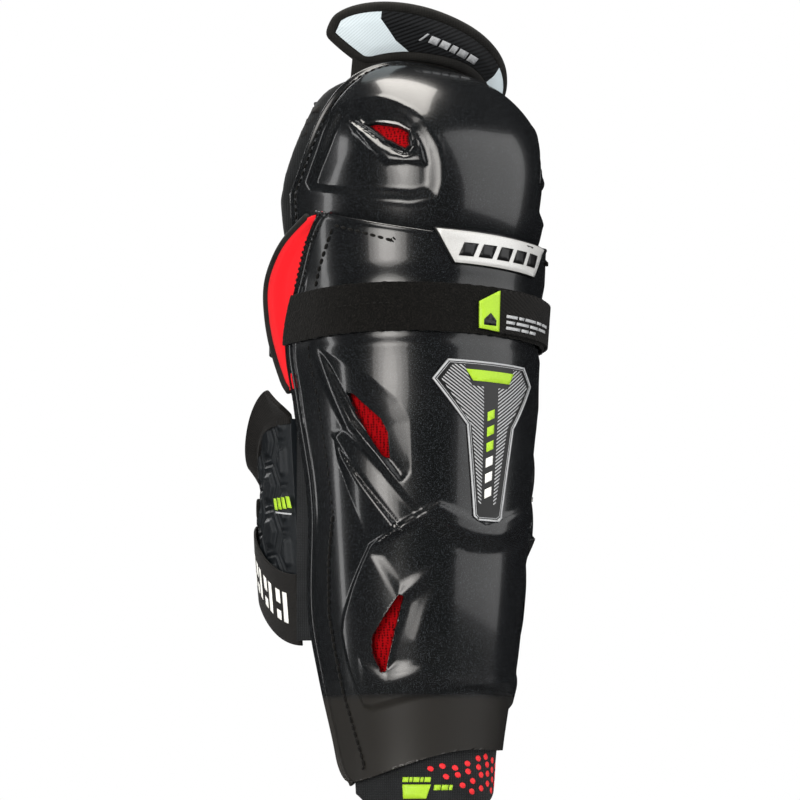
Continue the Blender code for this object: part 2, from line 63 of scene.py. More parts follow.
# %% Directions, camera and lamps
LOOK_AZIMUTH = -38.0
LOOK_RISE = -8.0
LOOK_DISTANCE = 1.6
VIEW_WIDTH = 0.472
VIEW_CENTRE = (-0.0118, 0.2258)  # across and up in the view's own plane
SENSOR = 36.0


def compass(azimuth, rise):
    """A unit vector towards a point seen at degrees round from the front and degrees above level."""
    azimuth, rise = math.radians(azimuth), math.radians(rise)
    return Vector((math.sin(azimuth) * math.cos(rise), -math.cos(azimuth) * math.cos(rise), math.sin(rise)))


def aim(obj, place, target):
    obj.location = place
    obj.rotation_euler = (Vector(target) - place).to_track_quat("-Z", "Y").to_euler()


def put(obj):
    bpy.context.scene.collection.objects.link(obj)
    return obj


towards = compass(LOOK_AZIMUTH, LOOK_RISE)
right = Vector((math.cos(math.radians(LOOK_AZIMUTH)), math.sin(math.radians(LOOK_AZIMUTH)), 0))
upward = towards.cross(right)
target = right * VIEW_CENTRE[0] + upward * VIEW_CENTRE[1]
camera = put(bpy.data.objects.new("camera", bpy.data.cameras.new("camera")))
camera.data.sensor_width = SENSOR
camera.data.lens = SENSOR * LOOK_DISTANCE / VIEW_WIDTH
aim(camera, target + towards * LOOK_DISTANCE, target)
bpy.context.scene.camera = camera
print("camera at", [round(value, 3) for value in camera.location])


def softbox(name, azimuth, rise, distance, size, power, shape="RECTANGLE", colour=(1, 1, 1)):
    lamp = put(bpy.data.objects.new(name, bpy.data.lights.new(name, "AREA")))
    lamp.data.shape = shape
    lamp.data.size, lamp.data.size_y = size
    lamp.data.energy = power
    lamp.data.color = colour
    middle = Vector((0, 0, 0.25))
    aim(lamp, middle + compass(azimuth, rise) * distance, middle)
    return lamp


for ring, (size, power) in enumerate(((0.55, 7), (0.9, 12), (1.3, 16))):  # nested, so that the edge is soft
    softbox(f"key_softbox_{ring}", -56, 9, 1.9, (size, size), power, "ELLIPSE", (1, 0.97, 0.93))
softbox("top_panel", -42, 84, 1.3, (0.8, 0.9), 22, colour=(1, 0.96, 0.9))
softbox("right_wall", 35, 18, 1.9, (1.9, 2.0), 20)
softbox("back_panel", 165, 30, 2.0, (1.4, 1.4), 22)
softbox("left_strip", -128, 6, 1.8, (0.22, 1.6), 5)

# %% [markdown]
# ## How a material is put together
# Every finish here is a small node tree on a Principled shader. One helper adds a node, sets what it is told,
# and links any socket that it is handed. Colours are written as sRGB hex and turned to linear in one place.

# %% Colour and node helpers
def linear(code):
    """The linear colour of an sRGB hex code."""
    parts = [int(code[i:i + 2], 16) / 255 for i in (1, 3, 5)]
    return (*[p / 12.92 if p <= 0.04045 else ((p + 0.055) / 1.055) ** 2.4 for p in parts], 1.0)


def add_node(tree, kind, inputs=None, **settings):
    """One node with its settings. An input that is a socket is linked, and any other value is set."""
    node = tree.nodes.new("ShaderNode" + kind)
    for name, value in settings.items():
        setattr(node, name, value)
    for socket, value in (inputs or {}).items():
        if isinstance(value, bpy.types.NodeSocket):
            tree.links.new(value, node.inputs[socket])
        else:
            node.inputs[socket].default_value = value
    return node


def new_material(name, **sockets):
    """A material and its Principled shader, with plain values on the shader's own sockets."""
    made = bpy.data.materials.new(name)
    made.use_nodes = True
    shader = made.node_tree.nodes["Principled BSDF"]
    for socket, value in sockets.items():
        shader.inputs[socket.replace("_", " ")].default_value = value
    return made, made.node_tree, shader


def mix_colours(tree, share, first, second):
    node = add_node(tree, "Mix", {"Factor": share}, data_type="RGBA")
    for socket, value in ((node.inputs[6], first), (node.inputs[7], second)):
        if isinstance(value, bpy.types.NodeSocket):
            tree.links.new(value, socket)
        else:
            socket.default_value = value
    return node.outputs[2]


def ramp(tree, value, low, high, to_low=0.0, to_high=1.0):
    return add_node(
        tree, "MapRange",
        {"Value": value, "From Min": low, "From Max": high, "To Min": to_low, "To Max": to_high},
    ).outputs[0]


def raise_surface(tree, shader, height, depth_mm, strength=1.0):
    bump = add_node(tree, "Bump", {"Height": height, "Distance": depth_mm * MM, "Strength": strength})
    tree.links.new(bump.outputs[0], shader.inputs["Normal"])


def object_place(tree):
    return add_node(tree, "TexCoord").outputs["Object"]


def chart_place(tree):
    """The piece's own map, on which one unit is one millimetre along the surface."""
    return add_node(tree, "UVMap", uv_map="millimetres").outputs[0]


def grain(tree, place, size_mm, detail=2.0):
    """Noise whose blotches are about a size across."""
    sockets = {"Vector": place, "Scale": 1 / (size_mm * MM), "Detail": detail}
    return add_node(tree, "TexNoise", sockets).outputs[0]


# %% [markdown]
# ## Hard finishes
# The shell and the knee cap are injection-moulded polyethylene, polished in the mould: a near mirror with a
# faint orange peel, and a fine metal fleck under the surface that shows as grey dust where a lamp grazes
# it. The shin's foot is the same plastic with the mould left sandblasted, so it only glows softly.

# %% Moulded plastic and printed plastic
FLECK_MM = 0.42
PEEL_MM = 5.0
SANDBLAST_TOP = 0.047


def moulded_polyethylene(name, dull_below=None):
    """Gloss black with a fine fleck. Below a height, where one is given, the mould was sandblasted."""
    made, tree, shader = new_material(name, Coat_Weight=0.35, Coat_Roughness=0.07, Specular_IOR_Level=0.4)
    place = object_place(tree)
    fleck = ramp(tree, grain(tree, place, FLECK_MM, detail=1), 0.56, 0.76)
    colour = mix_colours(tree, fleck, linear("#0b0c0d"), linear("#34383b"))
    gloss = ramp(tree, grain(tree, place, 30), 0.3, 0.7, 0.19, 0.26)
    if dull_below is not None:
        height = add_node(tree, "SeparateXYZ", {"Vector": place}).outputs["Z"]
        dull = ramp(tree, height, dull_below, dull_below + 0.004, 1.0, 0.0)
        gloss = add_node(tree, "Mix", {"Factor": dull, "A": gloss, "B": 0.5}).outputs[0]
        colour = mix_colours(tree, dull, colour, linear("#1e1c19"))
    tree.links.new(colour, shader.inputs["Base Color"])
    tree.links.new(gloss, shader.inputs["Roughness"])
    raise_surface(tree, shader, grain(tree, place, PEEL_MM), 0.03, 0.5)
    return made


def printed_plastic(name, code, roughness=0.4, metallic=0.0):
    """Pad-printed or painted plastic: an even colour with a slightly speckled skin."""
    made, tree, shader = new_material(name, Metallic=metallic)
    place = object_place(tree)
    speckle = grain(tree, place, 0.6)
    paint = linear(code)
    shade = mix_colours(tree, ramp(tree, speckle, 0.3, 0.7), paint, tuple(0.86 * c for c in paint))
    tree.links.new(shade, shader.inputs["Base Color"])
    tree.links.new(ramp(tree, speckle, 0.3, 0.7, roughness, roughness + 0.08), shader.inputs["Roughness"])
    raise_surface(tree, shader, speckle, 0.02, 0.4)
    return made


SHELL_PLASTIC = moulded_polyethylene("gloss_moulded_polyethylene", SANDBLAST_TOP)
CAP_PLASTIC = moulded_polyethylene("gloss_knee_polyethylene")
SILVER = printed_plastic("satin_silver_paint", "#c9c9c7", 0.32, 0.25)
PRINT_BLACK = printed_plastic("black_screen_print", "#0b0b0c", 0.35)
PRINT_GREY = printed_plastic("grey_screen_print", "#a4a6a8", 0.4)
PRINT_WHITE = printed_plastic("white_rubber_print", "#e9e9e4", 0.55)
PRINT_LIME = printed_plastic("lime_screen_print", "#9cc41a", 0.45)
PRINT_RED = printed_plastic("red_screen_print", "#e2121d", 0.55)
print("hard finishes made")

# %% [markdown]
# ## Cloths
# The soft goods are polyester: flat woven webbing, brushed loop pile, knitted binding, coated fabric and
# open mesh. A pattern that has to follow the cloth reads the piece's own map, where one unit is a
# millimetre, so thread spacing is written in real millimetres. The finest threads are drawn slightly
# coarser so that they show.

# %% Cloth materials
def thread_waves(tree, place, spacing, turned=0.0, metres=False):
    """Ribs a spacing apart, turned by some degrees on a map. In space they run upright, or level at 90."""
    size = 1 / (spacing * (MM if metres else 1.0))
    turn = (0, 0, math.radians(turned))
    if metres:
        turn = (0, math.radians(turned), math.radians(45 - turned / 2))
    spun = add_node(tree, "Mapping", {"Vector": place, "Rotation": turn, "Scale": (size,) * 3}).outputs[0]
    # A wave repeats each 1/20 of its scale, times pi.
    return add_node(tree, "TexWave", {"Vector": spun, "Scale": math.pi / 10}).outputs[1]


def woven(name, code, light_code, spacing=1.3, roughness=0.85, lines=None, charted=True, depth=0.35):
    """A cloth with crossing threads. lines adds printed lines: (hex code, spacing, degrees, share)."""
    made, tree, shader = new_material(name, Sheen_Weight=0.04, Specular_IOR_Level=0.2)
    place = chart_place(tree) if charted else object_place(tree)
    warp = thread_waves(tree, place, spacing, 0, not charted)
    weft = thread_waves(tree, place, spacing * 0.8, 90, not charted)
    height = add_node(tree, "Math", {0: warp, 1: weft}, operation="MULTIPLY").outputs[0]
    patchy = ramp(tree, grain(tree, object_place(tree), 14), 0.3, 0.7, 0.0, 0.35)
    # The colour is lighter on the thread crests, as a painted highlight, and in random blotches of tone.
    crest_highlight_and_blotches = add_node(tree, "Math", {0: height, 1: patchy}, operation="ADD", use_clamp=True).outputs[0]
    colour = mix_colours(tree, crest_highlight_and_blotches, linear(code), linear(light_code))
    if lines:
        line_code, pitch, turned, share = lines
        stripe = thread_waves(tree, place, pitch, turned)
        edge = ramp(tree, stripe, 1 - share, 1 - share + 0.12)
        colour = mix_colours(tree, edge, colour, linear(line_code))
    tree.links.new(colour, shader.inputs["Base Color"])
    shader.inputs["Roughness"].default_value = roughness
    raise_surface(tree, shader, height, depth, 0.6)
    return made


def brushed_pile(name, code, light_code, loop_mm=0.9):
    """Loop pile: thousands of tiny loops that scatter the light and leave no highlight."""
    made, tree, shader = new_material(name, Roughness=0.95, Sheen_Weight=0.04, Specular_IOR_Level=0.15)
    place = object_place(tree)
    loops = grain(tree, place, loop_mm, detail=4)
    colour = mix_colours(tree, ramp(tree, loops, 0.45, 0.75), linear(code), linear(light_code))
    tree.links.new(colour, shader.inputs["Base Color"])
    raise_surface(tree, shader, loops, 0.9)
    return made


def open_mesh(name, code, hole_mm=2.2):
    """Knitted spacer mesh: a coloured net whose holes are painted dark red, as painted shade in the mesh's
    depth.
    """
    made, tree, shader = new_material(name, Roughness=0.9, Specular_IOR_Level=0.08)
    place = object_place(tree)
    cells = add_node(tree, "TexVoronoi", {"Vector": place, "Scale": 1 / (hole_mm * MM), "Randomness": 0.25})
    net = ramp(tree, cells.outputs["Distance"], 0.28, 0.42)
    # The holes are coloured dark red: painted shade down through the net.
    colour = mix_colours(tree, net, linear("#3a0004"), linear(code))
    tree.links.new(colour, shader.inputs["Base Color"])
    raise_surface(tree, shader, net, 0.4)
    return made


def cell_foam(name, code, cell_mm=1.6):
    """Closed-cell foam with a moulded skin: half matt, with tiny pores."""
    made, tree, shader = new_material(name, Roughness=0.45)
    place = object_place(tree)
    pores = add_node(tree, "TexVoronoi", {"Vector": place, "Scale": 1 / (cell_mm * MM)}).outputs["Distance"]
    foam = linear(code)
    # Each pore is sunk by the bump and coloured darker: painted shade in the pits.
    colour = mix_colours(tree, ramp(tree, pores, 0.1, 0.5), tuple(0.6 * c for c in foam), foam)
    tree.links.new(colour, shader.inputs["Base Color"])
    raise_surface(tree, shader, pores, 0.15, 0.6)
    return made


WEBBING = woven("black_woven_elastic", "#080706", "#171513", 1.3)
WIDE_ELASTIC = woven("black_wide_elastic", "#080706", "#161412", 1.0)
PILE = brushed_pile("black_loop_pile", "#040403", "#1a1816")
TAPE = woven("black_knit_binding", "#0a0a09", "#242320", 0.9, charted=False)
RED_FABRIC = woven("red_coated_nylon", "#cf000e", "#dc0012", 0.7, 0.62, depth=0.08)
RED_MESH = open_mesh("red_spacer_mesh", "#8e0208", 1.5)
LINER_KNIT = woven("black_brushed_knit", "#0d0e0f", "#232527", 1.2, charted=False)
PALE_KNIT = woven("pale_grey_wicking_knit", "#aab3b6", "#d3dadc", 1.4, charted=False)
PALE_COATED = woven(
    "pale_grey_coated_nylon", "#bcc8cc", "#ccd6da", 0.8, 0.5, lines=("#b2bdc2", 1.5, 28, 0.3), depth=0.06,
)
BLACK_COATED = woven(
    "black_coated_nylon", "#16181a", "#1e2022", 0.8, 0.42, lines=("#020203", 2.2, 55, 0.5), depth=0.12,
)
CALF_FOAM = cell_foam("slate_moulded_foam", "#0f1418", 2.4)
INNER_FOAM = cell_foam("charcoal_impact_foam", "#1f2022")
THREAD = brushed_pile("black_bonded_thread", "#060605", "#24221f", 0.4)
print("cloth finishes made")

# %% [markdown]
# ## The surfaces that everything is laid on
# The guard is a set of sheets wrapped on a few smooth surfaces: the shin's tapering shell, the knee's
# rounded cap, the thigh's crescent and the calf. Each surface is a short function from two chart
# coordinates to a place, and its driving sizes are the same few that set the CAD solids.

# %% Curves through a few sizes
def along(table, where, column=1):
    """A table's value between its rows, on a smooth curve through them."""
    where = min(max(where, table[0][0]), table[-1][0])
    last = len(table) - 1
    i = max(j for j in range(last) if table[j][0] <= where)

    def slope(j):
        low, high = table[max(j - 1, 0)], table[min(j + 1, last)]
        return (high[column] - low[column]) / (high[0] - low[0])

    step = table[i + 1][0] - table[i][0]
    t = (where - table[i][0]) / step
    return (
        (2 * t**3 - 3 * t**2 + 1) * table[i][column]
        + (t**3 - 2 * t**2 + t) * step * slope(i)
        + (3 * t**2 - 2 * t**3) * table[i + 1][column]
        + (t**3 - t**2) * step * slope(i + 1)
    )


def way_point(way, share):
    """The point a share of the way through a list of points, on a smooth curve through them."""
    place = share * (len(way) - 1)
    return [along([(i, p[axis]) for i, p in enumerate(way)], place) for axis in (0, 1)]


def blend(start, end, share):
    return start + (end - start) * share


def ease(value):
    value = min(max(value, 0.0), 1.0)
    return value * value * (3 - 2 * value)


# %% The shin's surface
SHIN_SECTIONS = (
    (-5, 48, 44), (20, 50, 46), (60, 56.5, 51), (100, 61.5, 55.5), (165, 67, 60.5),
    (225, 72, 65), (261, 75, 67.5), (300, 78, 70), (340, 80, 71),
)  # height, half width, depth in front of the leg axis
FLANGE_EDGE = (
    (0, 14), (20, 18), (60, 25), (100, 30), (165, 23),
    (225, 32), (261, 36), (300, 17), (320, 6), (336, -8),
)  # height, y of the shell's back edge
SHIN_BLUNTNESS = 0.06
SHELL_WALL = 2.6
FOOT_CORNER, TOP_CORNER = 15.0, 9.0
DEGREE_MM = 1.17  # the width of a degree on the shell, on average
SHIN_UNIT = (DEGREE_MM, 1)  # millimetres for a step along each of the chart's axes


def shin_point(angle, height, lift=0.0):
    width = along(SHIN_SECTIONS, height, 1) + lift
    depth = along(SHIN_SECTIONS, height, 2) + lift
    turn = math.radians(angle)
    if abs(angle) <= 90:
        x = math.sin(turn) * (1 + SHIN_BLUNTNESS * math.cos(turn) ** 2)
        y = -math.cos(turn)
    else:
        y = abs(turn) - math.pi / 2
        x = math.copysign(math.cos(0.35 * y), turn)
    return Vector((width * x, depth * y, height)) * MM


def angle_at(y, height):
    """Degrees round from the front at which the shell's side reaches y."""
    depth = along(SHIN_SECTIONS, height, 2)
    if y > 0:
        return 90 + math.degrees(y / depth)
    return math.degrees(math.acos(-y / depth))


def flange_angle(height):
    return angle_at(along(FLANGE_EDGE, height), height)


def shell_edge(sign, height):
    """The moulded shell's own side edge, with rounded corners at its foot and its top."""
    angle = flange_angle(height)
    foot = FOOT_CORNER - (height - shin_bottom(sign * angle))
    top = TOP_CORNER - (shin_top(angle) - height)
    cut = 0.0
    for past, radius in ((foot, FOOT_CORNER), (top, TOP_CORNER)):
        if past > 0:
            cut += radius - math.sqrt(max(radius**2 - min(past, radius) ** 2, 0))
    return angle - cut / DEGREE_MM


def shin_top(angle):
    return 315 + 19.5 * min(abs(angle) / 90, 1) ** 2


def shin_bottom(angle):
    return 19 * ease((angle + 100) / 105)


def shin_chart(reach, low, high):
    """A chart of degrees and height between end angles and a lower and an upper edge."""

    def chart(across, up):
        height = blend(low(0), high(0), up)
        for _ in range(3):
            angle = blend(*reach(height), across)
            height = blend(low(angle), high(angle), up)
        return angle, height

    return chart


def fixed(value):
    return lambda _: value


def inside_flanges(margin):
    return lambda height: (margin - flange_angle(height), flange_angle(height) - margin)


# %% [markdown]
# ## From a flat chart to a finished sheet
# A grid is laid out flat, windows are cut through it while it is still flat, and only then is it wrapped on
# its surface, raised or sunk by a relief and given a wall. Cutting flat keeps every window's edge clean, and
# the map for the cloth patterns is taken from the same flat chart.

# %% Distances on a chart, in numpy
def distance(points, line, closed=False):
    """From each point to a line of straight runs. Inside a closed line it is negative."""
    line = np.array(line, float)
    starts = line if closed else line[:-1]
    ends = np.roll(line, -1, axis=0) if closed else line[1:]
    best = np.full(len(points), np.inf)
    inside = np.zeros(len(points), bool)
    for start, end in zip(starts, ends):
        run = end - start
        if not run.any():
            continue
        share = np.clip((points - start) @ run / (run @ run), 0, 1)
        best = np.minimum(best, np.hypot(*(points - start - share[:, None] * run).T))
        if closed and start[1] != end[1]:
            crosses = (start[1] > points[:, 1]) != (end[1] > points[:, 1])
            inside ^= crosses & (points[:, 0] < start[0] + (points[:, 1] - start[1]) * run[0] / run[1])
    return np.where(inside, -best, best)


def soft_step(values, low, high):
    share = np.clip((values - low) / (high - low), 0, 1)
    return share * share * (3 - 2 * share)


def bead(values, middle, spread, height):
    """A rounded ridge across a line of values, or a groove where the height is negative."""
    return height * np.exp(-(((values - middle) / spread) ** 2))


def within(values, low, high, soft_low, soft_high):
    """1 between two values and 0 outside them, with a soft start and end of the given lengths."""
    return soft_step(values, low, low + soft_low) * (1 - soft_step(values, high - soft_high, high))


def mirrored(line):
    return tuple((-u, v) for u, v in reversed(line))


# %% Building a sheet
CUT_REACH = 1.0  # how far past an outline its box of cut faces reaches


def cut_lines(bm, outline):
    """Cuts a flat mesh along each side of an outline, without touching what lies outside its box."""
    low = Vector((min(u for u, _ in outline) - CUT_REACH, min(v for _, v in outline) - CUT_REACH, 0))
    high = Vector((max(u for u, _ in outline) + CUT_REACH, max(v for _, v in outline) + CUT_REACH, 0))
    for start, end in zip(outline, (*outline[1:], outline[0])):
        faces = [
            f for f in bm.faces
            if any(low.x <= v.co.x <= high.x and low.y <= v.co.y <= high.y for v in f.verts)
        ]
        edges = list({e for f in faces for e in f.edges})
        verts = list({v for f in faces for v in f.verts})
        across = (end[1] - start[1], start[0] - end[0], 0)
        nearby = verts + edges + faces
        bmesh.ops.bisect_plane(bm, geom=nearby, plane_co=(*start, 0), plane_no=across, dist=1e-5)


def inside_faces(bm, outline):
    middles = np.array([f.calc_center_median()[:2] for f in bm.faces])
    return [f for f, d in zip(bm.faces, distance(middles, outline, True)) if d < 0]


def chart_grid(columns, rows, chart):
    bm = bmesh.new()
    bmesh.ops.create_grid(bm, x_segments=columns, y_segments=rows, size=0.5)
    for vert in bm.verts:
        vert.co = (*chart(vert.co.x + 0.5, vert.co.y + 0.5), 0)
    return bm


def wrap(bm, surface, relief=None, unit=(1.0, 1.0), lift=0.0):
    """Takes the cloth map from the flat mesh, then lays the mesh on its surface."""
    uv = bm.loops.layers.uv.new("millimetres")
    for face in bm.faces:
        for loop in face.loops:
            loop[uv].uv = (loop.vert.co.x * unit[0], loop.vert.co.y * unit[1])
    flat = np.array([v.co[:2] for v in bm.verts])
    lifts = lift + (relief(flat) if relief else np.zeros(len(flat)))
    for vert, height in zip(bm.verts, lifts):
        vert.co = surface(vert.co.x, vert.co.y, float(height))
    return bm


def finish_piece(bm, name, look, body, stands_for=(), slot=None, wall=0.0, side=-1, round_edge=0.0):
    """Makes the object, gives it its wall and rounded edges, and puts it on its body."""
    mesh = bpy.data.meshes.new(name)
    bm.to_mesh(mesh)
    bm.free()
    mesh.materials.append(look)
    mesh.shade_smooth()
    piece = put(bpy.data.objects.new(name, mesh))
    if wall:
        solid = piece.modifiers.new("wall", "SOLIDIFY")
        solid.thickness = wall * MM
        solid.offset = side
    if round_edge:
        bevel = piece.modifiers.new("rounded edges", "BEVEL")
        bevel.width = round_edge * MM
        bevel.segments = 2
        bevel.angle_limit = math.radians(50)
    if body:
        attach(piece, body)
    if stands_for:
        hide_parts(*stands_for)
    print(f"{name}: {len(mesh.polygons)} faces on {body}")
    return piece


# %% Rows of stitches, and flat shapes
STITCH_MM = 5.5
THREAD_RADIUS = 0.55


def walk(line, pitch):
    """Points a pitch apart along a line of straight runs on a chart, with the direction at each."""
    steps = []
    left = pitch / 2
    for start, end in zip(line, line[1:]):
        start, end = Vector(start), Vector(end)
        length = (end - start).length
        while left < length:
            steps.append((start.lerp(end, left / length), (end - start).normalized()))
            left += pitch
        left -= length
    return steps


def stitches(
    name, lines, surface, body, pitch=STITCH_MM, lift=0.2, scale=DEGREE_MM, share=0.62, radius=THREAD_RADIUS,
):
    """Rows of thread, each stitch a short plump capsule that dips into the surface at its ends."""
    bm = bmesh.new()
    for line in lines:
        for spot, way in walk([(u * scale, v) for u, v in line], pitch):
            here = surface(spot.x / scale, spot.y, lift)
            ahead = surface((spot.x + way.x * 0.5) / scale, spot.y + way.y * 0.5, lift)
            turn = (ahead - here).to_track_quat("Z", "Y").to_matrix().to_4x4()
            size = Matrix.Diagonal((radius * MM, radius * MM, pitch * share / 2 * MM, 1))
            place = Matrix.Translation(here) @ turn @ size
            bmesh.ops.create_uvsphere(bm, u_segments=6, v_segments=5, radius=1, matrix=place)
    return finish_piece(bm, name, THREAD, body)


def flat_shapes(outlines, spacing=3.0):
    """Flat faces with the given outlines, cut into small cells so that they bend with a surface."""
    bm = bmesh.new()
    for outline in outlines:
        bm.faces.new([bm.verts.new((u, v, 0)) for u, v in outline])
    bmesh.ops.triangulate(bm, faces=bm.faces)
    for axis, normal in ((0, (1, 0, 0)), (1, (0, 1, 0))):
        where = min(v.co[axis] for v in bm.verts) + spacing
        end = max(v.co[axis] for v in bm.verts)
        while where < end:
            geometry = bm.verts[:] + bm.edges[:] + bm.faces[:]
            bmesh.ops.bisect_plane(bm, geom=geometry, plane_co=Vector(normal) * where, plane_no=normal)
            where += spacing
    return bm


def printed(
    name, outlines, surface, lift, look, body, spacing=3.0, relief=None, thick=0.15, unit=SHIN_UNIT,
    stands_for=(), slot=None,
):
    """Thin raised print with the given outlines on a chart."""
    bm = wrap(flat_shapes(outlines, spacing), surface, relief, unit, lift)
    bmesh.ops.recalc_face_normals(bm, faces=bm.faces)
    return finish_piece(bm, name, look, body, stands_for, slot, wall=thick, side=0)


# %% [markdown]
# ## The shin shell
# The real shell is one moulding about 3 mm thick. Its front shield stands proud with a bevelled edge, a
# sunk pocket beside each vent leads air in, a long blade-shaped facet runs down each side, and a lower
# band stands proud of the plain foot. A beaded flange runs down both back edges for the liner's
# stitches. Each of these is one named outline on the chart, in degrees round from the front and height.

# %% Outlines of the shell's facets
VENT_UPPER = ((-74, 225), (-69, 223), (-54, 208), (-50.5, 200), (-50, 185), (-53.5, 186.5), (-66, 207))
VENT_LOWER = ((-46, 107), (-43, 106), (-55, 63.5), (-58, 62.5), (-63.5, 74), (-63.5, 82))
VENT_EDGE = (VENT_LOWER[1], VENT_LOWER[2])  # the lower vent's front edge
SHIELD_EDGE = ((-96, 254), (-72.5, 205), (-58, 189.5), (-40, 164), (-28.5, 151), (-7, 143.5), (0, 143))
POCKET_CREST = ((-90.5, 253), (-59.5, 233.5), (-44, 218.5), (-39, 206.5), (-38.5, 177))
POCKET_LIP = ((-92, 252), (-70, 208), (-56, 189), (-44, 172))
BLADE_CREST = ((-84, 200), (-63, 169.5), (-43.5, 143))
BLADE_FOOT = ((-84, 200), (-82, 186), (-62.5, 132.5))
BAND_EDGE = (
    (-61.5, 134), (-73, 113), (-82.5, 94), (-85, 85.5), (-81.5, 68), (-72.5, 45.5), (-67, 44),
    (-42.5, 49.5), (-14, 54.5), (0, 56),
)
CHEVRON = ((-47, 146.5), (-38, 140.5), (-19.5, 132.5), (-15, 129.5), (-28.5, 101.5), (-36, 80), (-33, 65.5))
LEDGE = ((-72, 71), (-54.5, 60), (-33, 65.5))


def in_mm(line):
    """A chart line with its degrees turned to millimetres."""
    return tuple((u * DEGREE_MM, v) for u, v in line)


FINE_RIDGE_SPAN = (132, 300, 33, 14)  # the flange's fine ridge: from and to a height, and its soft ends
BAND_CHANNEL_SPAN = (250, 300, 7, 12)  # the same, for the channel that the loop band lies in
FACET_RAMP = 11.0  # a facet narrower than this is shallower, so that it runs out smoothly


def facet(points, low, high, rise, soft=2.6, unit=in_mm, shallow=FACET_RAMP):
    """A plane ruled from a low line up to a high line, in the area between the two."""
    outline = unit(low) + unit(tuple(reversed(high)))
    to_low = distance(points, unit(low))
    to_high = distance(points, unit(high))
    inside = soft_step(-distance(points, outline, True), -soft / 2, soft)
    gap = to_low + to_high
    return rise * np.minimum(gap / shallow, 1) * inside * to_low / np.maximum(gap, 1e-6)


def edge_bead(depth):
    """The flange's profile by distance from its edge: a rolled edge, a gutter, and a second fine ridge."""
    return bead(depth, 1.0, 0.9, 0.9), bead(depth, 4.6, 2.4, -0.7), bead(depth, 9.2, 0.7, 0.75)


def shell_relief(flat):
    """How far each chart point stands proud of the plain shell, in millimetres."""
    height = flat[:, 1]
    points = np.column_stack([-np.abs(flat[:, 0]) * DEGREE_MM, height])
    shield = in_mm(SHIELD_EDGE) + ((1, 143), (1, 262), (-112, 262))
    fade = 1 - 0.85 * soft_step(height, 205, 250)
    slope = 5.5 + 7 * (1 - soft_step(-points[:, 0], 12, 50))
    lift = 2.2 * soft_step(-distance(points, shield, True) / slope, -1, 0.05) * fade
    lift -= facet(points, POCKET_CREST, POCKET_LIP, 3.4)
    lift += facet(points, BLADE_FOOT, BLADE_CREST, 4.0, 2.2)
    lift += facet(points, SHIELD_EDGE[1:5], BLADE_CREST, 2.2)
    band = in_mm(BAND_EDGE) + ((1, 56), (1, 146), (-30, 158))
    lift += 2.1 * soft_step(-distance(points, band, True), -3.2, 0.4)
    lift -= facet(points, CHEVRON[3:], VENT_EDGE, 2.4, 6)
    lift -= facet(points, CHEVRON[:4], ((-60, 130), (-46, 107)), 2.0, 6)
    lift += facet(points, BAND_EDGE[5:], LEDGE, 1.2, 5)
    flange = np.array([shell_edge(math.copysign(1, a), h) for a, h in flat])
    depth = (flange - np.abs(flat[:, 0])) * DEGREE_MM
    rolled, gutter, ridge = edge_bead(depth)
    lift += rolled + gutter + ridge * within(height, *FINE_RIDGE_SPAN)
    lift -= 1.2 * within(height, *BAND_CHANNEL_SPAN) * soft_step(depth, 4, 30)
    top = np.array([shin_top(a) for a in flat[:, 0]])
    lift += bead(top - height, 1.2, 1.0, 0.7)
    return lift


# %% Mould the shell
SHELL_COLUMNS = 216
SHELL_ROWS = 236

shell_chart = shin_chart(lambda h: (-shell_edge(-1, h), shell_edge(1, h)), shin_bottom, shin_top)
bm = chart_grid(SHELL_COLUMNS, SHELL_ROWS, shell_chart)
for crest, foot in (
    (POCKET_CREST, POCKET_LIP), (BLADE_CREST, BLADE_FOOT), (SHIELD_EDGE[1:5], BLADE_CREST),
    (CHEVRON[3:], VENT_EDGE), (BAND_EDGE[5:], LEDGE),
):
    cut_lines(bm, crest + tuple(reversed(foot)))
    cut_lines(bm, mirrored(crest + tuple(reversed(foot))))
for outline in (VENT_UPPER, VENT_LOWER, mirrored(VENT_UPPER), mirrored(VENT_LOWER)):
    cut_lines(bm, outline)
    bmesh.ops.delete(bm, geom=inside_faces(bm, outline), context="FACES")
wrap(bm, shin_point, shell_relief, SHIN_UNIT)
finish_piece(
    bm, "moulded_shin_shell", SHELL_PLASTIC, "shin", ["shin_shell"], "shell_plastic", SHELL_WALL,
    round_edge=0.5,
)

# %% [markdown]
# ## Stitches through the shell
# The liner is sewn to the flange by a long row of bonded thread, and the wing by two short rows that meet
# in a corner near the top. Each stitch is modelled, because on gloss plastic every one of them catches light.

# %% Sew the flanges
FLANGE_ROW = ((-101.5, 257), (-95, 222.5), (-91, 190), (-88, 154))
HEAVY_ROW = (
    (-88, 154), (-92, 138), (-94.5, 127.5), (-98, 97.5), (-96, 79.5), (-91.5, 50.5), (-84, 25), (-78.5, 10),
)
CUFF_ROW = ((-87, 325), (-97, 312), (-105, 292))  # repeated in three rows of holes
KNOTS = (
    ((-47.6, 311.4), (-46.2, 310.6)), ((-46.9, 310.0), (-45.5, 312.0)), ((-79.4, 8.6), (-77.6, 7.8)),
)
TOP_ROW = ((-76, 322.5), (-47, 311))
SIDE_ROW = ((-77, 321), (-92, 288))


def over_shell(angle, height, lift=0.0):
    """A point over the moulded shell, relief included."""
    raised = float(shell_relief(np.array([[angle, height]]))[0])
    return shin_point(angle, height, raised + lift)


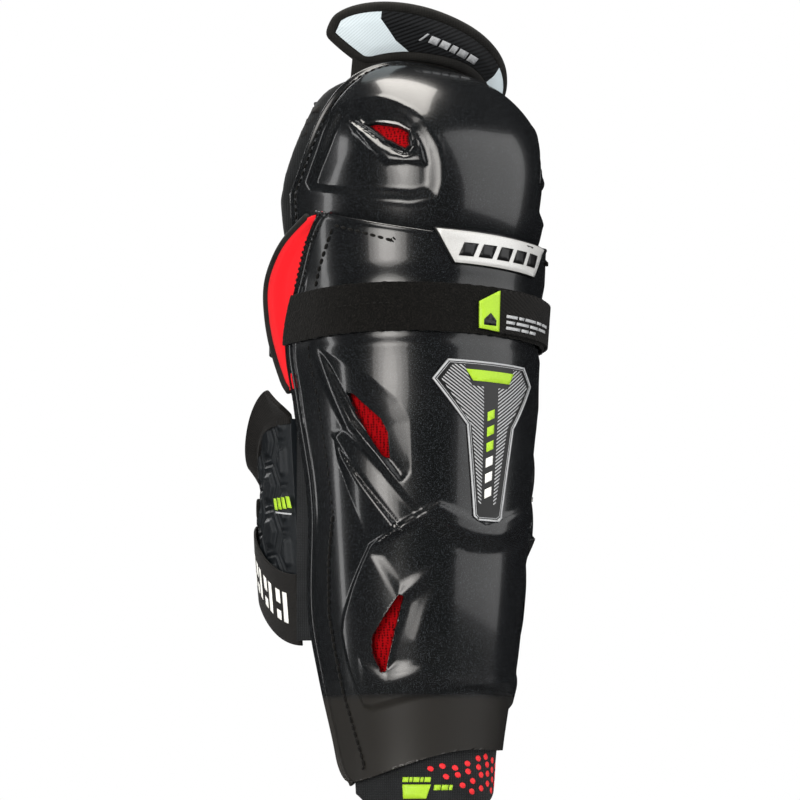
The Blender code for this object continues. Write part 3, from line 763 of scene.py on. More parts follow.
for side, turn in (("lateral", tuple), ("medial", mirrored)):
    stitches(f"flange_stitches_{side}", [turn(FLANGE_ROW)], over_shell, "shin", lift=0.1)
    stitches(
        f"heavy_stitches_{side}", [turn(HEAVY_ROW)], over_shell, "shin", 4.4, 0.4, radius=1.05, share=0.95,
    )
    holes = [turn(tuple((u + shift, v) for u, v in CUFF_ROW)) for shift in (-2.6, 0, 2.6)]
    stitches(f"vent_dashes_{side}", holes, over_shell, "shin", 3.4, 0.1, radius=0.55, share=0.6)
    stitches(f"end_knots_{side}", [turn(knot) for knot in KNOTS], over_shell, "shin", 1.7, 0.9, radius=1.2)
    stitches(
        f"wing_stitches_{side}", [turn(TOP_ROW), turn(SIDE_ROW)], over_shell, "shin", 4.6, 0.3, radius=0.95,
        share=0.8,
    )

# %% [markdown]
# ## Plate and badge
# The silver plate is a thin injection-moulded part snapped into the shell's top edge, and the badge is a
# black inlay with a printed border and a fine hatch. Their marks are plain slanted bars. Each printed shape
# is a real thin layer, so it also shows on the bare mesh.

# %% Outlines from outlines
PLATE = ((-27, 318), (34.5, 316.4), (25.5, 298), (-19, 299))
BADGE = (
    (-21.5, 243), (22, 243), (29, 232.5), (14.5, 205), (9.5, 152.5), (6.5, 150), (-5, 150), (-7.5, 152.5),
    (-12.5, 205), (-29, 231),
)


def inset(outline, width, scale=DEGREE_MM):
    """An outline moved inwards by a width in millimetres, with mitred corners."""
    points = [Vector((u * scale, v)) for u, v in outline]
    turn = math.copysign(1, sum(a.x * b.y - b.x * a.y for a, b in zip(points, points[1:] + points[:1])))
    moved = []
    for before, here, after in zip(points[-1:] + points[:-1], points, points[1:] + points[:1]):
        first, second = (here - before).normalized(), (after - here).normalized()
        normals = [Vector((-d.y, d.x)) * turn for d in (first, second)]
        push = normals[0] + normals[1]
        spot = here + push * (width / max(push.dot(normals[0]), 0.3))
        moved.append((spot.x / scale, spot.y))
    return tuple(moved)


def border(outline, start, end):
    """Four-sided faces that fill the band between two insets of an outline."""
    outer, inner = inset(outline, start), inset(outline, end)
    count = len(outline)
    return [(outer[i], outer[(i + 1) % count], inner[(i + 1) % count], inner[i]) for i in range(count)]


def bars(left, right, low, high, widths, gap, slant):
    """Slanted bars of the given relative widths in a row, with gaps."""
    unit = (right - left - gap * (len(widths) - 1)) / sum(widths)
    row = []
    for width in widths:
        end = left + width * unit
        row.append(((left, low), (end, low), (end + slant, high), (left + slant, high)))
        left = end + gap
    return row


def hatched(outline, turned, pitch, share):
    """Stripes a pitch apart, turned by some degrees, clipped to an outline."""
    bm = flat_shapes([outline], 4.0)
    way = Vector((math.cos(math.radians(turned)), math.sin(math.radians(turned)), 0))
    side = Vector((-way.y, way.x, 0))
    reaches = [v.co.dot(side) for v in bm.verts]
    for k in range(math.floor(min(reaches) / pitch), math.ceil(max(reaches) / pitch)):
        for edge in (k, k + share):
            geometry = bm.verts[:] + bm.edges[:] + bm.faces[:]
            bmesh.ops.bisect_plane(bm, geom=geometry, plane_co=side * edge * pitch, plane_no=side)
    spare = [f for f in bm.faces if (f.calc_center_median().dot(side) / pitch) % 1 > share]
    bmesh.ops.delete(bm, geom=spare, context="FACES")
    return bm


HATCH_THICKNESS = 0.12


def printed_hatch(name, outlines, turned, pitch, share, surface, lift, look, body, relief=None):
    """Stripes on a surface, in one piece."""
    whole = bmesh.new()
    for outline, turn in zip(outlines, turned):
        scratch = bpy.data.meshes.new("stripes")
        hatched(outline, turn, pitch, share).to_mesh(scratch)
        whole.from_mesh(scratch)
        bpy.data.meshes.remove(scratch)
    wrap(whole, surface, relief, SHIN_UNIT, lift)
    bmesh.ops.recalc_face_normals(whole, faces=whole.faces)
    return finish_piece(whole, name, look, body, wall=HATCH_THICKNESS, side=0)


# %% Plate, badge and their marks
LEFT_FIELD = (
    (-24.5, 231), (-19, 240), (-13.5, 240), (-10, 228), (-4, 228), (-3.5, 160), (-5, 160), (-10, 205),
)
RIGHT_FIELD = mirrored(LEFT_FIELD)
LIME_BAR = ((-13, 237.5), (13.5, 237.5), (10.5, 231), (-9.5, 231))
PLATE_BARS = bars(-17.5, 25, 303, 311, (5, 5, 5, 5, 5), 2.4, 2.5)


def on_shell(name, outlines, lift, look, thick=0.15, stands_for=(), slot=None):
    """A print or thin inlay that follows the moulded shell."""
    return printed(
        name, outlines, shin_point, lift, look, "shin", relief=shell_relief, thick=thick,
        stands_for=stands_for, slot=slot,
    )


def badge_steps(lows):
    """Short slanted bars in a column, from the heights of their lower left corners."""
    return [((-1.9, v), (1.9, v + 2.2), (1.9, v + 7.4), (-1.9, v + 5.2)) for v in lows]


on_shell("plate_seat", [inset(PLATE, -0.9)], 0.75, PRINT_BLACK, 1.2)
on_shell("silver_plate", [PLATE], 1.1, SILVER, 1.4, ["name_plate"], "plate")
on_shell("plate_marks", PLATE_BARS, 1.95, PRINT_BLACK)
on_shell("badge_inlay", [BADGE], 0.25, PRINT_BLACK, 0.9, ["shin_badge"], "badge")
on_shell("badge_border", border(BADGE, 0.2, 1.3), 0.8, PRINT_GREY)
on_shell("badge_inner_line", border(BADGE, 1.9, 2.2), 0.75, PRINT_GREY)
printed_hatch(
    "badge_hatch", (LEFT_FIELD, RIGHT_FIELD), (-42, 42), 1.55, 0.42, shin_point, 0.78, PRINT_GREY, "shin",
    shell_relief,
)
on_shell("badge_lime_bar", [LIME_BAR], 0.95, PRINT_LIME, 0.3, ["badge_bar"], "lime_print")
on_shell("badge_marks", badge_steps((163, 172, 181)), 0.85, PRINT_WHITE)
on_shell("badge_lime_marks", badge_steps((190, 199, 208)), 0.85, PRINT_LIME)

# %% [markdown]
# ## Mesh, foam and liner behind the shell
# Behind each vent a patch of red spacer mesh lets air through to the foam. The liner is a brushed knit
# sewn over soft foam in channels, and it is what the leg touches. From behind it is most of what shows.

# %% Vent meshes
VENT_MARGIN = 4.0  # how far a mesh reaches past its vent
VENT_MESH_LIFT = -6.3


def vent_patch(name, outline, node):
    left, right = min(u for u, _ in outline) - VENT_MARGIN, max(u for u, _ in outline) + VENT_MARGIN
    low, high = min(v for _, v in outline) - VENT_MARGIN, max(v for _, v in outline) + VENT_MARGIN
    bm = chart_grid(16, 24, lambda across, up: (blend(left, right, across), blend(low, high, up)))
    wrap(bm, shin_point, None, SHIN_UNIT, VENT_MESH_LIFT)
    finish_piece(bm, name, RED_MESH, "shin", [node], "vent_mesh", 0.8)


for row, outline in (("upper", VENT_UPPER), ("lower", VENT_LOWER)):
    for side, turn in (("lateral", tuple), ("medial", mirrored)):
        vent_patch(f"red_mesh_{row}_{side}", turn(outline), f"vent_mesh_{row}_{side}")

# %% Foam and quilted liner
FOAM_LIFT = -7.4
LINER_LIFT = -10.8
LINER_LOW, LINER_HIGH = 27, 280
QUILT_ROW, QUILT_COLUMN = 31.0, 34.0


def quilting(flat):
    """Channels sewn across and down the liner, so that it swells between them."""
    u, v = flat[:, 0] * DEGREE_MM, flat[:, 1]
    across = np.abs(((v - LINER_LOW) / QUILT_ROW + 0.5) % 1 - 0.5) * QUILT_ROW
    down = np.abs((u / QUILT_COLUMN + 0.5) % 1 - 0.5) * QUILT_COLUMN
    near = np.minimum(across, down)
    ends = np.minimum(v - (LINER_LOW - 1), LINER_HIGH + 2 - v)
    return bead(near, 0, 3.2, 2.6) + bead(np.maximum(ends, 0), 0, 4, 2.0)


liner_chart = shin_chart(inside_flanges(3), fixed(LINER_LOW), fixed(LINER_HIGH))
bm = wrap(chart_grid(60, 60, liner_chart), shin_point, None, SHIN_UNIT, FOAM_LIFT)
finish_piece(bm, "impact_foam", INNER_FOAM, "shin", ["shin_foam"], "impact_foam", 3.2, round_edge=0.8)
bm = wrap(chart_grid(150, 150, liner_chart), shin_point, quilting, SHIN_UNIT, LINER_LIFT - 7.6)
liner = finish_piece(
    bm, "quilted_liner", LINER_KNIT, "shin", ["shin_liner"], "liner_fabric", 7.0, side=1, round_edge=1.5,
)

# %% [markdown]
# ## Ankle tongue
# The liner runs on below the shell as a printed tongue: black knit with rows of red ovals that grow
# towards the inner side, a lime block, and a folded hem.

# %% Tongue and its prints
TONGUE_LIFT = -3.6


def tongue_low(angle):
    return -15 + 12 * ease((angle - 10) / 60) + 9 * ease((-angle - 72) / 30)


bm = chart_grid(96, 26, shin_chart(fixed((-97, 76)), tongue_low, fixed(25)))
tongue = finish_piece(
    wrap(bm, shin_point, None, SHIN_UNIT, TONGUE_LIFT), "ankle_tongue_knit", LINER_KNIT, "shin",
    ["ankle_tongue"], "liner_fabric", 3.6, round_edge=1.3,
)


def hem_low(angle):
    return -18 + 5 * ((angle + 40) / 30) ** 2 / 2


hem = chart_grid(60, 4, shin_chart(fixed((-76, -16)), hem_low, fixed(-6)))
finish_piece(
    wrap(hem, shin_point, None, SHIN_UNIT, TONGUE_LIFT - 4), "tongue_hem", LINER_KNIT, "shin", wall=2.4,
    round_edge=0.8,
)
DOTS = (
    (-36, 14.5), (-27, 8), (-18, 9.5), (-8, 8.5), (2.5, 11), (13, 14), (22, 15), (-15, 3.5), (-5.5, 4.5),
    (3.5, 6.5), (14, 9), (25, 10.5), (34, 13), (-1, -1.5), (8.5, 1), (17.5, 4.5), (26.5, 5.2), (35, 7.5),
    (45, 10), (8, -5),
    (18.5, -3.2), (27.5, -0.6), (37, 1.8), (46.5, 4.8), (56, 8), (36, -4.5), (46, -1), (56, 2.5), (65, 6),
)
dots = []
for u, v in DOTS:
    size = 1 + 0.004 * (u + 30)
    ring = [math.radians(45 * k) for k in range(8)]
    dots.append(tuple((
        u + size * (2.4 * math.cos(t) - 0.5 * math.sin(t)), v + size * 1.55 * math.sin(t),
    ) for t in ring))
printed("tongue_dots", dots, shin_point, TONGUE_LIFT + 0.1, PRINT_RED, "shin")
printed(
    "tongue_lime_block", [((-48.5, -1), (-26.5, -1), (-30, -9), (-48, -9))], shin_point, TONGUE_LIFT + 0.1,
    PRINT_LIME, "shin",
)
marks = bars(-48.5, -27, 0.4, 3.2, (2, 1, 2, 1, 2), 0.7, 0.5)
marks += bars(-24.5, -10, -4.2, -1.2, (2, 2, 1), 0.8, 0.6)
printed("tongue_lime_marks", marks, shin_point, TONGUE_LIFT + 0.1, PRINT_LIME, "shin")

# %% [markdown]
# ## Side wings
# Behind each flange a wing of padded red fabric fills the gap to the knee. Its free edge is finished with
# a knit binding folded over it.

# %% Wings and their bindings
WING_EDGE = ((232, 37.5), (238, 43), (263, 54.5), (284, 58), (299, 55.5), (312, 45), (321, 32), (331, 8))
WING_WALL = 2.2
WING_BINDING = 1.5


def wing_chart(sign):
    def chart(across, up):
        height = blend(WING_EDGE[0][0], WING_EDGE[-1][0], up)
        start = angle_at(along(FLANGE_EDGE, height) - 3, height)
        end = angle_at(along(WING_EDGE, height), height)
        return sign * blend(start, end, across if sign > 0 else 1 - across), height

    return chart


def wing_swell(flat):
    height = flat[:, 1]
    edge = np.array([angle_at(along(WING_EDGE, h), h) for h in height])
    depth = (edge - np.abs(flat[:, 0])) * DEGREE_MM
    return 1.1 * soft_step(depth, 0, 7) - 1.1 - 2.8 * soft_step(depth, 11, 18) * (depth > 11)


def piping(name, points, radius, look, body, stands_for=(), closed=False):
    """A round tube along points: a curve that is made a mesh."""
    curve = bpy.data.curves.new(name, "CURVE")
    curve.dimensions = "3D"
    curve.bevel_depth = radius * MM
    curve.bevel_resolution = 4
    curve.use_fill_caps = True
    spline = curve.splines.new("POLY")
    spline.points.add(len(points) - 1)
    for knot, point in zip(spline.points, points):
        knot.co = (*point, 1.0)
    spline.use_cyclic_u = closed
    scratch = put(bpy.data.objects.new(name, curve))
    bm = bmesh.new()
    made = bpy.data.meshes.new_from_object(scratch.evaluated_get(bpy.context.evaluated_depsgraph_get()))
    bm.from_mesh(made)
    bpy.data.objects.remove(scratch)
    bpy.data.meshes.remove(made)
    bmesh.ops.remove_doubles(bm, verts=bm.verts, dist=1e-5)
    bmesh.ops.recalc_face_normals(bm, faces=bm.faces)
    return finish_piece(bm, name, look, body, stands_for, "binding")


def binding_point(sign, share):
    height = blend(WING_EDGE[0][0], WING_EDGE[-1][0], share)
    slope = along(WING_EDGE, height + 1) - along(WING_EDGE, height - 1)
    away = (WING_BINDING * 0.5) / math.hypot(2, slope)
    back = along(WING_EDGE, height) + 2 * away
    height -= slope * away
    return shin_point(sign * angle_at(back, height), height, -1.6)


for side, sign in (("lateral", -1), ("medial", 1)):
    bm = wrap(chart_grid(30, 70, wing_chart(sign)), shin_point, wing_swell, SHIN_UNIT)
    wing = finish_piece(
        bm, f"red_wing_{side}", RED_FABRIC, "shin", [f"side_wing_{side}"], "wing_fabric", WING_WALL,
        round_edge=0.6,
    )
    route = [binding_point(sign, step / 60) for step in range(61)]
    piping(f"wing_tape_{side}", route, 2.5, TAPE, "shin", [f"wing_binding_{side}"])

# %% [markdown]
# ## Upper strap
# A band of loop pile is sewn across the shell in its channel. The elastic strap leaves the outer side,
# passes behind the leg and comes back over the inner flange, where its hook tab grips the band.

# %% Loop band, strap and hook tab
STRAP_LOW, STRAP_HIGH = 259.0, 286.0
STRAP_WAY = (
    (-62, 68), (-52, 82), (-30, 93), (0, 97), (35, 94), (62, 82), (77, 66), (82.5, 48), (83, 28), (82.5, 7),
)
ANCHOR_WAY = ((-68.5, 38), (-67.5, 50), (-64, 60))


def fuzz(flat):
    """The pile's uneven face and frayed look."""
    return np.array([0.35 * noise.noise(Vector((u * 0.9, v * 0.9, 3.0))) for u, v in flat])


def band_reach(height):
    return 1 - flange_angle(height), 86


FRAY_MM = 0.5


def frayed(chart):
    """A chart whose upper and lower edges waver slightly."""

    def waver(across, up):
        u, v = chart(across, up)
        return u, v + FRAY_MM * (2 * up - 1) * noise.noise(Vector((u * 0.35, 40 * up, 0)))

    return waver


band_chart = frayed(shin_chart(band_reach, fixed(STRAP_LOW - 0.6), fixed(STRAP_HIGH + 0.6)))
bm = wrap(chart_grid(240, 34, band_chart), shin_point, fuzz, SHIN_UNIT, 2.2)
finish_piece(bm, "pile_band", PILE, "shin", ["upper_loop_band"], "loop_pile", 1.5, round_edge=0.4)
stitches(
    "band_stitches", [((-84, 274), (-47, 274.5))], shin_point, "shin", 3.6, 2.35, radius=0.35, share=0.7,
)


def ribbed(flat):
    """The hook tab's moulded ribs, drawn coarser than the real hooks."""
    u, v = flat[:, 0] * DEGREE_MM, flat[:, 1]
    return 0.18 * np.sin((v + 0.6 * u) * 2 * math.pi / 2.4)


TAB_LIFT = 4.3
tab_chart = shin_chart(fixed((1, 91)), fixed(STRAP_LOW + 1), fixed(STRAP_HIGH - 1))
bm = wrap(chart_grid(190, 50, tab_chart), shin_point, ribbed, SHIN_UNIT, TAB_LIFT)
finish_piece(bm, "hook_tab", WIDE_ELASTIC, "upper_tab", ["upper_hook_tab"], "webbing", 1.5, round_edge=0.4)
FLAG = ((-8.5, 277), (1.2, 284.5), (1.5, 260.5), (-8.2, 261.5))
printed(
    "tab_flag", [FLAG], shin_point, TAB_LIFT - 0.2, PRINT_LIME, "upper_tab", thick=1.2,
    stands_for=["hook_tab_flag"], slot="lime_print",
)
printed(
    "flag_mark", [((-6.3, 263.5), (-3.2, 267.5), (-0.3, 263.5), (-0.3, 266.8), (-3.2, 270.8), (-6.3, 266.8))],
    shin_point, TAB_LIFT + 0.5, PRINT_BLACK, "upper_tab",
)
lines = []
for low, widths in ((269.2, (4, 2, 5, 3, 4)), (265.8, (3, 5, 4, 5)), (262.4, (5, 3, 3))):
    lines += bars(5, 5 + 1.85 * sum(widths), low, low + 1.7, widths, 1.0, 0.2)
printed("tab_lines", lines, shin_point, TAB_LIFT + 0.35, PRINT_GREY, "upper_tab")


def ribbon(name, columns, way, low, high, body, stands_for):
    """Upright webbing along a way seen from above."""
    length = sum(math.dist(a, b) for a, b in zip(way, way[1:]))
    bm = chart_grid(columns, 12, lambda across, up: (across * length, blend(low, high, up)))

    def surface(u, v, _):
        x, y = way_point(way, u / length)
        return Vector((x, y, v)) * MM

    wrap(bm, surface)
    return finish_piece(bm, name, WEBBING, body, stands_for, "webbing", 1.6, side=1, round_edge=0.4)


ribbon("elastic_strap", 120, STRAP_WAY, STRAP_LOW, STRAP_HIGH, "upper_strap", ["upper_strap"])
ribbon("strap_stub", 24, ANCHOR_WAY, STRAP_LOW, STRAP_HIGH, "shin", ["upper_strap_anchor"])

# %% [markdown]
# ## Knee cap
# The cap is one gloss moulding like the shell: a dome with a raised lip, a stitched gutter inside the lip,
# and on each side a sunk field with a window and a sill below it. Its chart counts degrees from straight
# ahead, as a map of the pole does, so sizes stay true, and a four-sided patch fills it without a pole.

# %% The cap's surface
KNEE_CENTRE = Vector((0, 9.5, 350))
CAP_RADIUS = 84.0
CAP_HALF_WIDTH = 75.0
CAP_SQUARENESS = (2.3, 2.75)  # below the knee axis, and above it
CAP_SIDE_RIM, CAP_TOP_RIM = 108.0, 78.0
CAP_DEGREE_MM = 1.466
SHOULDER = 135.0  # where the cap's side rim becomes its top rim, in degrees of turn


def cap_surface(direction, lift=0.0):
    turned = math.hypot(direction.y, direction.z)
    squareness = blend(*CAP_SQUARENESS, ease((direction.z / max(turned, 1e-6) + 0.17) / 0.67))
    sideways = (abs(direction.x) / (CAP_HALF_WIDTH + lift)) ** squareness
    total = sideways + (turned / (CAP_RADIUS + lift)) ** squareness
    return (KNEE_CENTRE + direction * total ** (-1 / squareness)) * MM


def cap_point(a, b, lift=0.0):
    """A point over the cap: degrees towards the inner side and up, measured from straight ahead."""
    ahead, turn = math.radians(math.hypot(a, b)), math.atan2(b, a)
    across = math.sin(ahead)
    return cap_surface(Vector((across * math.cos(turn), -math.cos(ahead), across * math.sin(turn))), lift)


def cap_rim(turn):
    up = math.sin(turn)
    if up < 0:
        return CAP_SIDE_RIM
    return blend(CAP_SIDE_RIM, CAP_TOP_RIM, min(up / 0.95, 1) ** 0.8)


def rim_spot(turn, wider=0.0):
    """The rim's place on the chart, at a turn in degrees from the inner side over the top."""
    turn = math.radians(turn)
    reach = cap_rim(turn) + wider
    return Vector((reach * math.cos(turn), reach * math.sin(turn)))


def halving(low, high, is_low):
    for _ in range(24):
        middle = (low + high) / 2
        low, high = (middle, high) if is_low(middle) else (low, middle)
    return (low + high) / 2


# %% A patch that fills a cup's outline
def cup_chart(wider, lift, bottom, crowd=0.6):
    """The patch between a cup's lower edge and its rim. crowd packs its lines towards the rim."""
    edges = {}

    def base(a):
        if a not in edges:
            edges[a] = Vector((a, halving(-90, 0, lambda b: cap_point(a, b, lift).z < bottom * MM)))
        return edges[a]

    end = halving(-125, -40, lambda a: base(a).length > CAP_SIDE_RIM + wider)
    end_turn = math.degrees(math.atan2(base(end).y, end)) % 360

    def chart(across, up):
        across -= crowd * math.sin(2 * math.pi * across) / (2 * math.pi)
        up += crowd * up * (1 - up)
        side = rim_spot(blend(end_turn, SHOULDER, up), wider)
        over = rim_spot(blend(SHOULDER, 180 - SHOULDER, across), wider)
        upright = base(blend(end, -end, across)).lerp(over, up)
        level = Vector((blend(side.x, -side.x, across), side.y))
        low, high = base(end), rim_spot(SHOULDER, wider)
        corners = Vector((blend(low.x, high.x, up) * (1 - 2 * across), blend(low.y, high.y, up)))
        return upright + level - corners

    return chart


# %% The cap's relief
def cap_chart_of(line):
    """A line given in degrees round from the front and up from level, on the cap's own chart."""
    found = []
    for angle, rise in line:
        angle, rise = math.radians(angle), math.radians(rise)
        ahead = math.degrees(math.acos(math.cos(rise) * math.cos(angle)))
        turn = math.atan2(math.sin(rise), math.cos(rise) * math.sin(angle))
        found.append((ahead * math.cos(turn), ahead * math.sin(turn)))
    return tuple(found)


def cap_mm(line):
    return tuple((a * CAP_DEGREE_MM, b * CAP_DEGREE_MM) for a, b in line)


VENT_KNEE = cap_chart_of(((-59.5, 24), (-54, 24), (-43, 21), (-38.5, 18), (-38, 12), (-40, 10), (-49, 15.5)))
CAP_FIELD = cap_mm(cap_chart_of((
    (-69.5, 35), (-53, 33.5), (-45, 30.5), (-38.5, 26.5), (-33.5, 22), (-30.5, 16.5), (-27.5, 11), (-26, 4.5),
    (-26, -3.5), (-27.5, -9), (-37.5, -11), (-61.5, -8.5), (-80.5, -4), (-91, -1), (-94, 3), (-90, 9.5),
    (-82.5, 24), (-77.5, 33),
)))
SILL_TOP = cap_mm(cap_chart_of((
    (-65, 26.5), (-59.5, 23.2), (-49, 14.8), (-40, 9.4), (-37.4, 12), (-37.8, 18),
)))
SILL_FOOT = cap_mm(cap_chart_of((
    (-68, 27), (-63, 21), (-55, 12), (-47.5, 5.5), (-40, 5.6), (-32, 4.5), (-33.5, 10), (-36.4, 17.5),
)))
BROW_FOOT = cap_mm(cap_chart_of(((-60, 24.5), (-54, 24.5), (-43, 21.5), (-38, 18.5))))
BROW_TOP = cap_mm(cap_chart_of(((-66, 31), (-53, 30), (-40, 25), (-33.5, 19))))


def cap_relief(flat):
    points = np.column_stack([-np.abs(flat[:, 0]), flat[:, 1]]) * CAP_DEGREE_MM
    turns = np.arctan2(flat[:, 1], flat[:, 0])
    depth = (np.array([cap_rim(turn) for turn in turns]) - np.hypot(*flat.T)) * CAP_DEGREE_MM
    over_top = soft_step(np.sin(turns), 0.3, 0.7)
    lift = bead(depth, 3.4, 1.3, 1.1) + bead(depth, 7.0, 2.0, -0.8) + over_top * bead(depth, 0.9, 0.5, 0.35)
    lift += bead(np.maximum(depth, 0), 0, 0.8, -0.9)
    into = -distance(points, CAP_FIELD, True)
    lift -= 3.2 * soft_step(into, -1.0, 9.0)
    lift += bead(into, -1.2, 1.4, 0.3) * soft_step(points[:, 0], -95, -60)
    lift -= facet(points, SILL_FOOT, SILL_TOP, 2.2, 2.0, tuple, 4.0)
    lift += facet(points, SILL_TOP, SILL_FOOT, 3.4, 5.0, tuple, 4.0)
    lift -= facet(points, BROW_TOP, BROW_FOOT, 1.4, 2.4, tuple)
    return lift


def over_cap(a, b, lift=0.0):
    return cap_point(a, b, float(cap_relief(np.array([[a, b]]))[0]) + lift)


# %% Mould the cap and sew its gutter
CAP_WALL = 2.6
CAP_UNIT = (CAP_DEGREE_MM, CAP_DEGREE_MM)
GUTTER_DEPTH = 6.6  # from the rim in to the stitches

bm = chart_grid(220, 168, cup_chart(0, 0, 300, 0.35))
for crest, foot in ((SILL_FOOT, SILL_TOP), (BROW_TOP, BROW_FOOT)):
    field = tuple((a / CAP_DEGREE_MM, b / CAP_DEGREE_MM) for a, b in crest + tuple(reversed(foot)))
    cut_lines(bm, field)
    cut_lines(bm, mirrored(field))
for outline in (VENT_KNEE, mirrored(VENT_KNEE)):
    cut_lines(bm, outline)
    bmesh.ops.delete(bm, geom=inside_faces(bm, outline), context="FACES")
wrap(bm, cap_point, cap_relief, CAP_UNIT)
finish_piece(
    bm, "moulded_knee_cap", CAP_PLASTIC, "knee", ["knee_shell"], "shell_plastic", CAP_WALL, round_edge=0.5,
)
gutter = [rim_spot(turn, -GUTTER_DEPTH / CAP_DEGREE_MM) for turn in range(206, -27, -4)]
stitches("cap_stitches", [gutter], over_cap, "knee", 6.2, 0.25, CAP_DEGREE_MM, share=0.5, radius=0.6)

for side, turn in (("lateral", tuple), ("medial", mirrored)):
    outline = turn(VENT_KNEE)
    spans = [(min(p[k] for p in outline) - 3, max(p[k] for p in outline) + 3) for k in (0, 1)]
    bm = chart_grid(18, 12, lambda across, up: (blend(*spans[0], across), blend(*spans[1], up)))
    wrap(bm, cap_point, None, CAP_UNIT, -6.0)
    node = f"knee_vent_mesh_{side}"
    finish_piece(bm, f"red_knee_mesh_{side}", RED_MESH, "knee", [node], "vent_mesh", 0.6)

# %% [markdown]
# ## Knee padding
# Under the cap a soft bolster covers the knee and shows as a black roll outside the cap's lip, and a pale
# knit lining shows from behind. Both start as the cup that the CAD holds. A cloth simulation then blows each
# of them up, as stuffing would, and the points' travel is capped so that they stay clear of the cap.

# %% A stuffing simulation
STUFFING_PRESSURE = 4.0
LAST_FRAME = 20


def applied(piece):
    """Turns a piece's modifiers into its mesh."""
    mesh = bpy.data.meshes.new_from_object(piece.evaluated_get(bpy.context.evaluated_depsgraph_get()))
    mesh.materials.clear()
    mesh.materials.append(piece.data.materials[0])
    piece.modifiers.clear()
    piece.data = mesh
    return mesh


def swell(piece, voxel_mm, most_mm):
    """Remeshes a padded piece evenly, blows it up with Blender's cloth, and keeps the result."""
    applied(piece)
    even = piece.modifiers.new("even", "REMESH")
    even.mode = "VOXEL"
    even.voxel_size = voxel_mm * MM
    mesh = applied(piece)
    rest = np.array([v.co for v in mesh.vertices])
    cloth = piece.modifiers.new("stuffing", "CLOTH")
    cloth.settings.use_pressure = True
    cloth.settings.uniform_pressure_force = STUFFING_PRESSURE
    cloth.settings.effector_weights.gravity = 0
    cloth.point_cache.frame_end = LAST_FRAME
    for frame_number in range(1, LAST_FRAME + 1):
        bpy.context.scene.frame_set(frame_number)
    blown = piece.evaluated_get(bpy.context.evaluated_depsgraph_get()).data
    moves = np.array([v.co for v in blown.vertices]) - rest
    lengths = np.maximum(np.linalg.norm(moves, axis=1), 1e-9)
    moves *= (np.minimum(lengths, most_mm * MM) / lengths)[:, None]
    piece.modifiers.clear()
    bpy.context.scene.frame_set(1)
    for vert, place in zip(mesh.vertices, rest + moves):
        vert.co = place
    mesh.shade_smooth()
    smooth = piece.modifiers.new("smooth", "SUBSURF")
    smooth.levels = smooth.render_levels = 1
    print(f"{piece.name}: stuffed, {len(rest)} points, furthest {lengths.max() / MM:.1f} mm")
    return piece


# %% Bolster and lining
def bolster_roll(flat):
    """Outside the cap's rim the bolster swells up past the lip."""
    turns = np.arctan2(flat[:, 1], flat[:, 0])
    past = (np.hypot(*flat.T) - np.array([cap_rim(turn) for turn in turns])) * CAP_DEGREE_MM
    sides = 1 - soft_step(np.sin(turns), 0.7, 0.98)
    return sides * (6.0 * soft_step(past, 0.5, 9) - 4.5 * soft_step(past, 16, 26))


BOLSTER_WIDER, SIDE_WIDER = 8.0, 17.0
bm = chart_grid(140, 90, cup_chart(BOLSTER_WIDER, -5.4, 306.5, 0.3))
for vert in bm.verts:  # at the sides the bolster reaches further back than over the top
    turn = math.atan2(vert.co.y, vert.co.x)
    degrees = math.degrees(turn)
    spare = rim_spot(degrees, SIDE_WIDER).length / rim_spot(degrees, BOLSTER_WIDER).length
    beside = ease((math.sin(turn) + 0.5) / 0.4) * (1 - ease((math.sin(turn) - 0.72) / 0.26))
    vert.co *= blend(1, spare, beside)
wrap(bm, cap_point, bolster_roll, CAP_UNIT, -6.4)
bolster = finish_piece(
    bm, "knee_bolster", LINER_KNIT, "knee", ["knee_pad"], "liner_fabric", 7.2, round_edge=2.6,
)
swell(bolster, 3.0, 1.0)


RING_PITCH = 36.0


def channels(flat):
    """Three sewn rings round the knee, so that the lining cups it."""
    reach = np.hypot(flat[:, 0], flat[:, 1]) * CAP_DEGREE_MM
    ring = np.abs((reach / RING_PITCH + 0.5) % 1 - 0.5) * RING_PITCH
    return bead(ring, 0, 3, 1.4)


bm = wrap(chart_grid(110, 80, cup_chart(10, -15.2, 309, 0.3)), cap_point, channels, CAP_UNIT, -18.8)
lining = finish_piece(
    bm, "knee_lining", PALE_KNIT, "knee", ["knee_liner"], "inner_fabric", 3.2, side=1, round_edge=1.0,
)
swell(lining, 2.0, 0.6)
ribs = []
for turn in range(142, 172, 5):
    corners = [rim_spot(turn + step, wider) for step, wider in ((0, 5), (3, 4), (3, 8.5), (0, 9.5))]
    ribs.append(tuple((spot.x, spot.y) for spot in corners))
ribs += [mirrored(rib) for rib in ribs]
printed("bolster_ribs", ribs, cap_point, -6.2, WEBBING, "knee", 6, bolster_roll, 0.9, CAP_UNIT)

# %% [markdown]
# ## Thigh guard
# A padded crescent stands over the cap and is hinged to it by a web of fabric, so that it can tilt with the
# thigh. Its face is three panels of coated nylon, and a wide knit binding runs right round its edge.

# %% The crescent's surface and chart
THIGH_PLACE = (2.0, -12.0, 436.0)
THIGH_HALF_WIDTH = 66.0
THIGH_REACH = 7.0  # how much further the inner end runs
THIGH_UP, THIGH_DOWN = 22.0, 20.0
THIGH_BEND = 122.0
THIGH_LEAN = 0.55
THIGH_TILT = 10.0
THIGH_CLEARANCE = 3.2  # over the cap
THIGH_WALL = 4.6


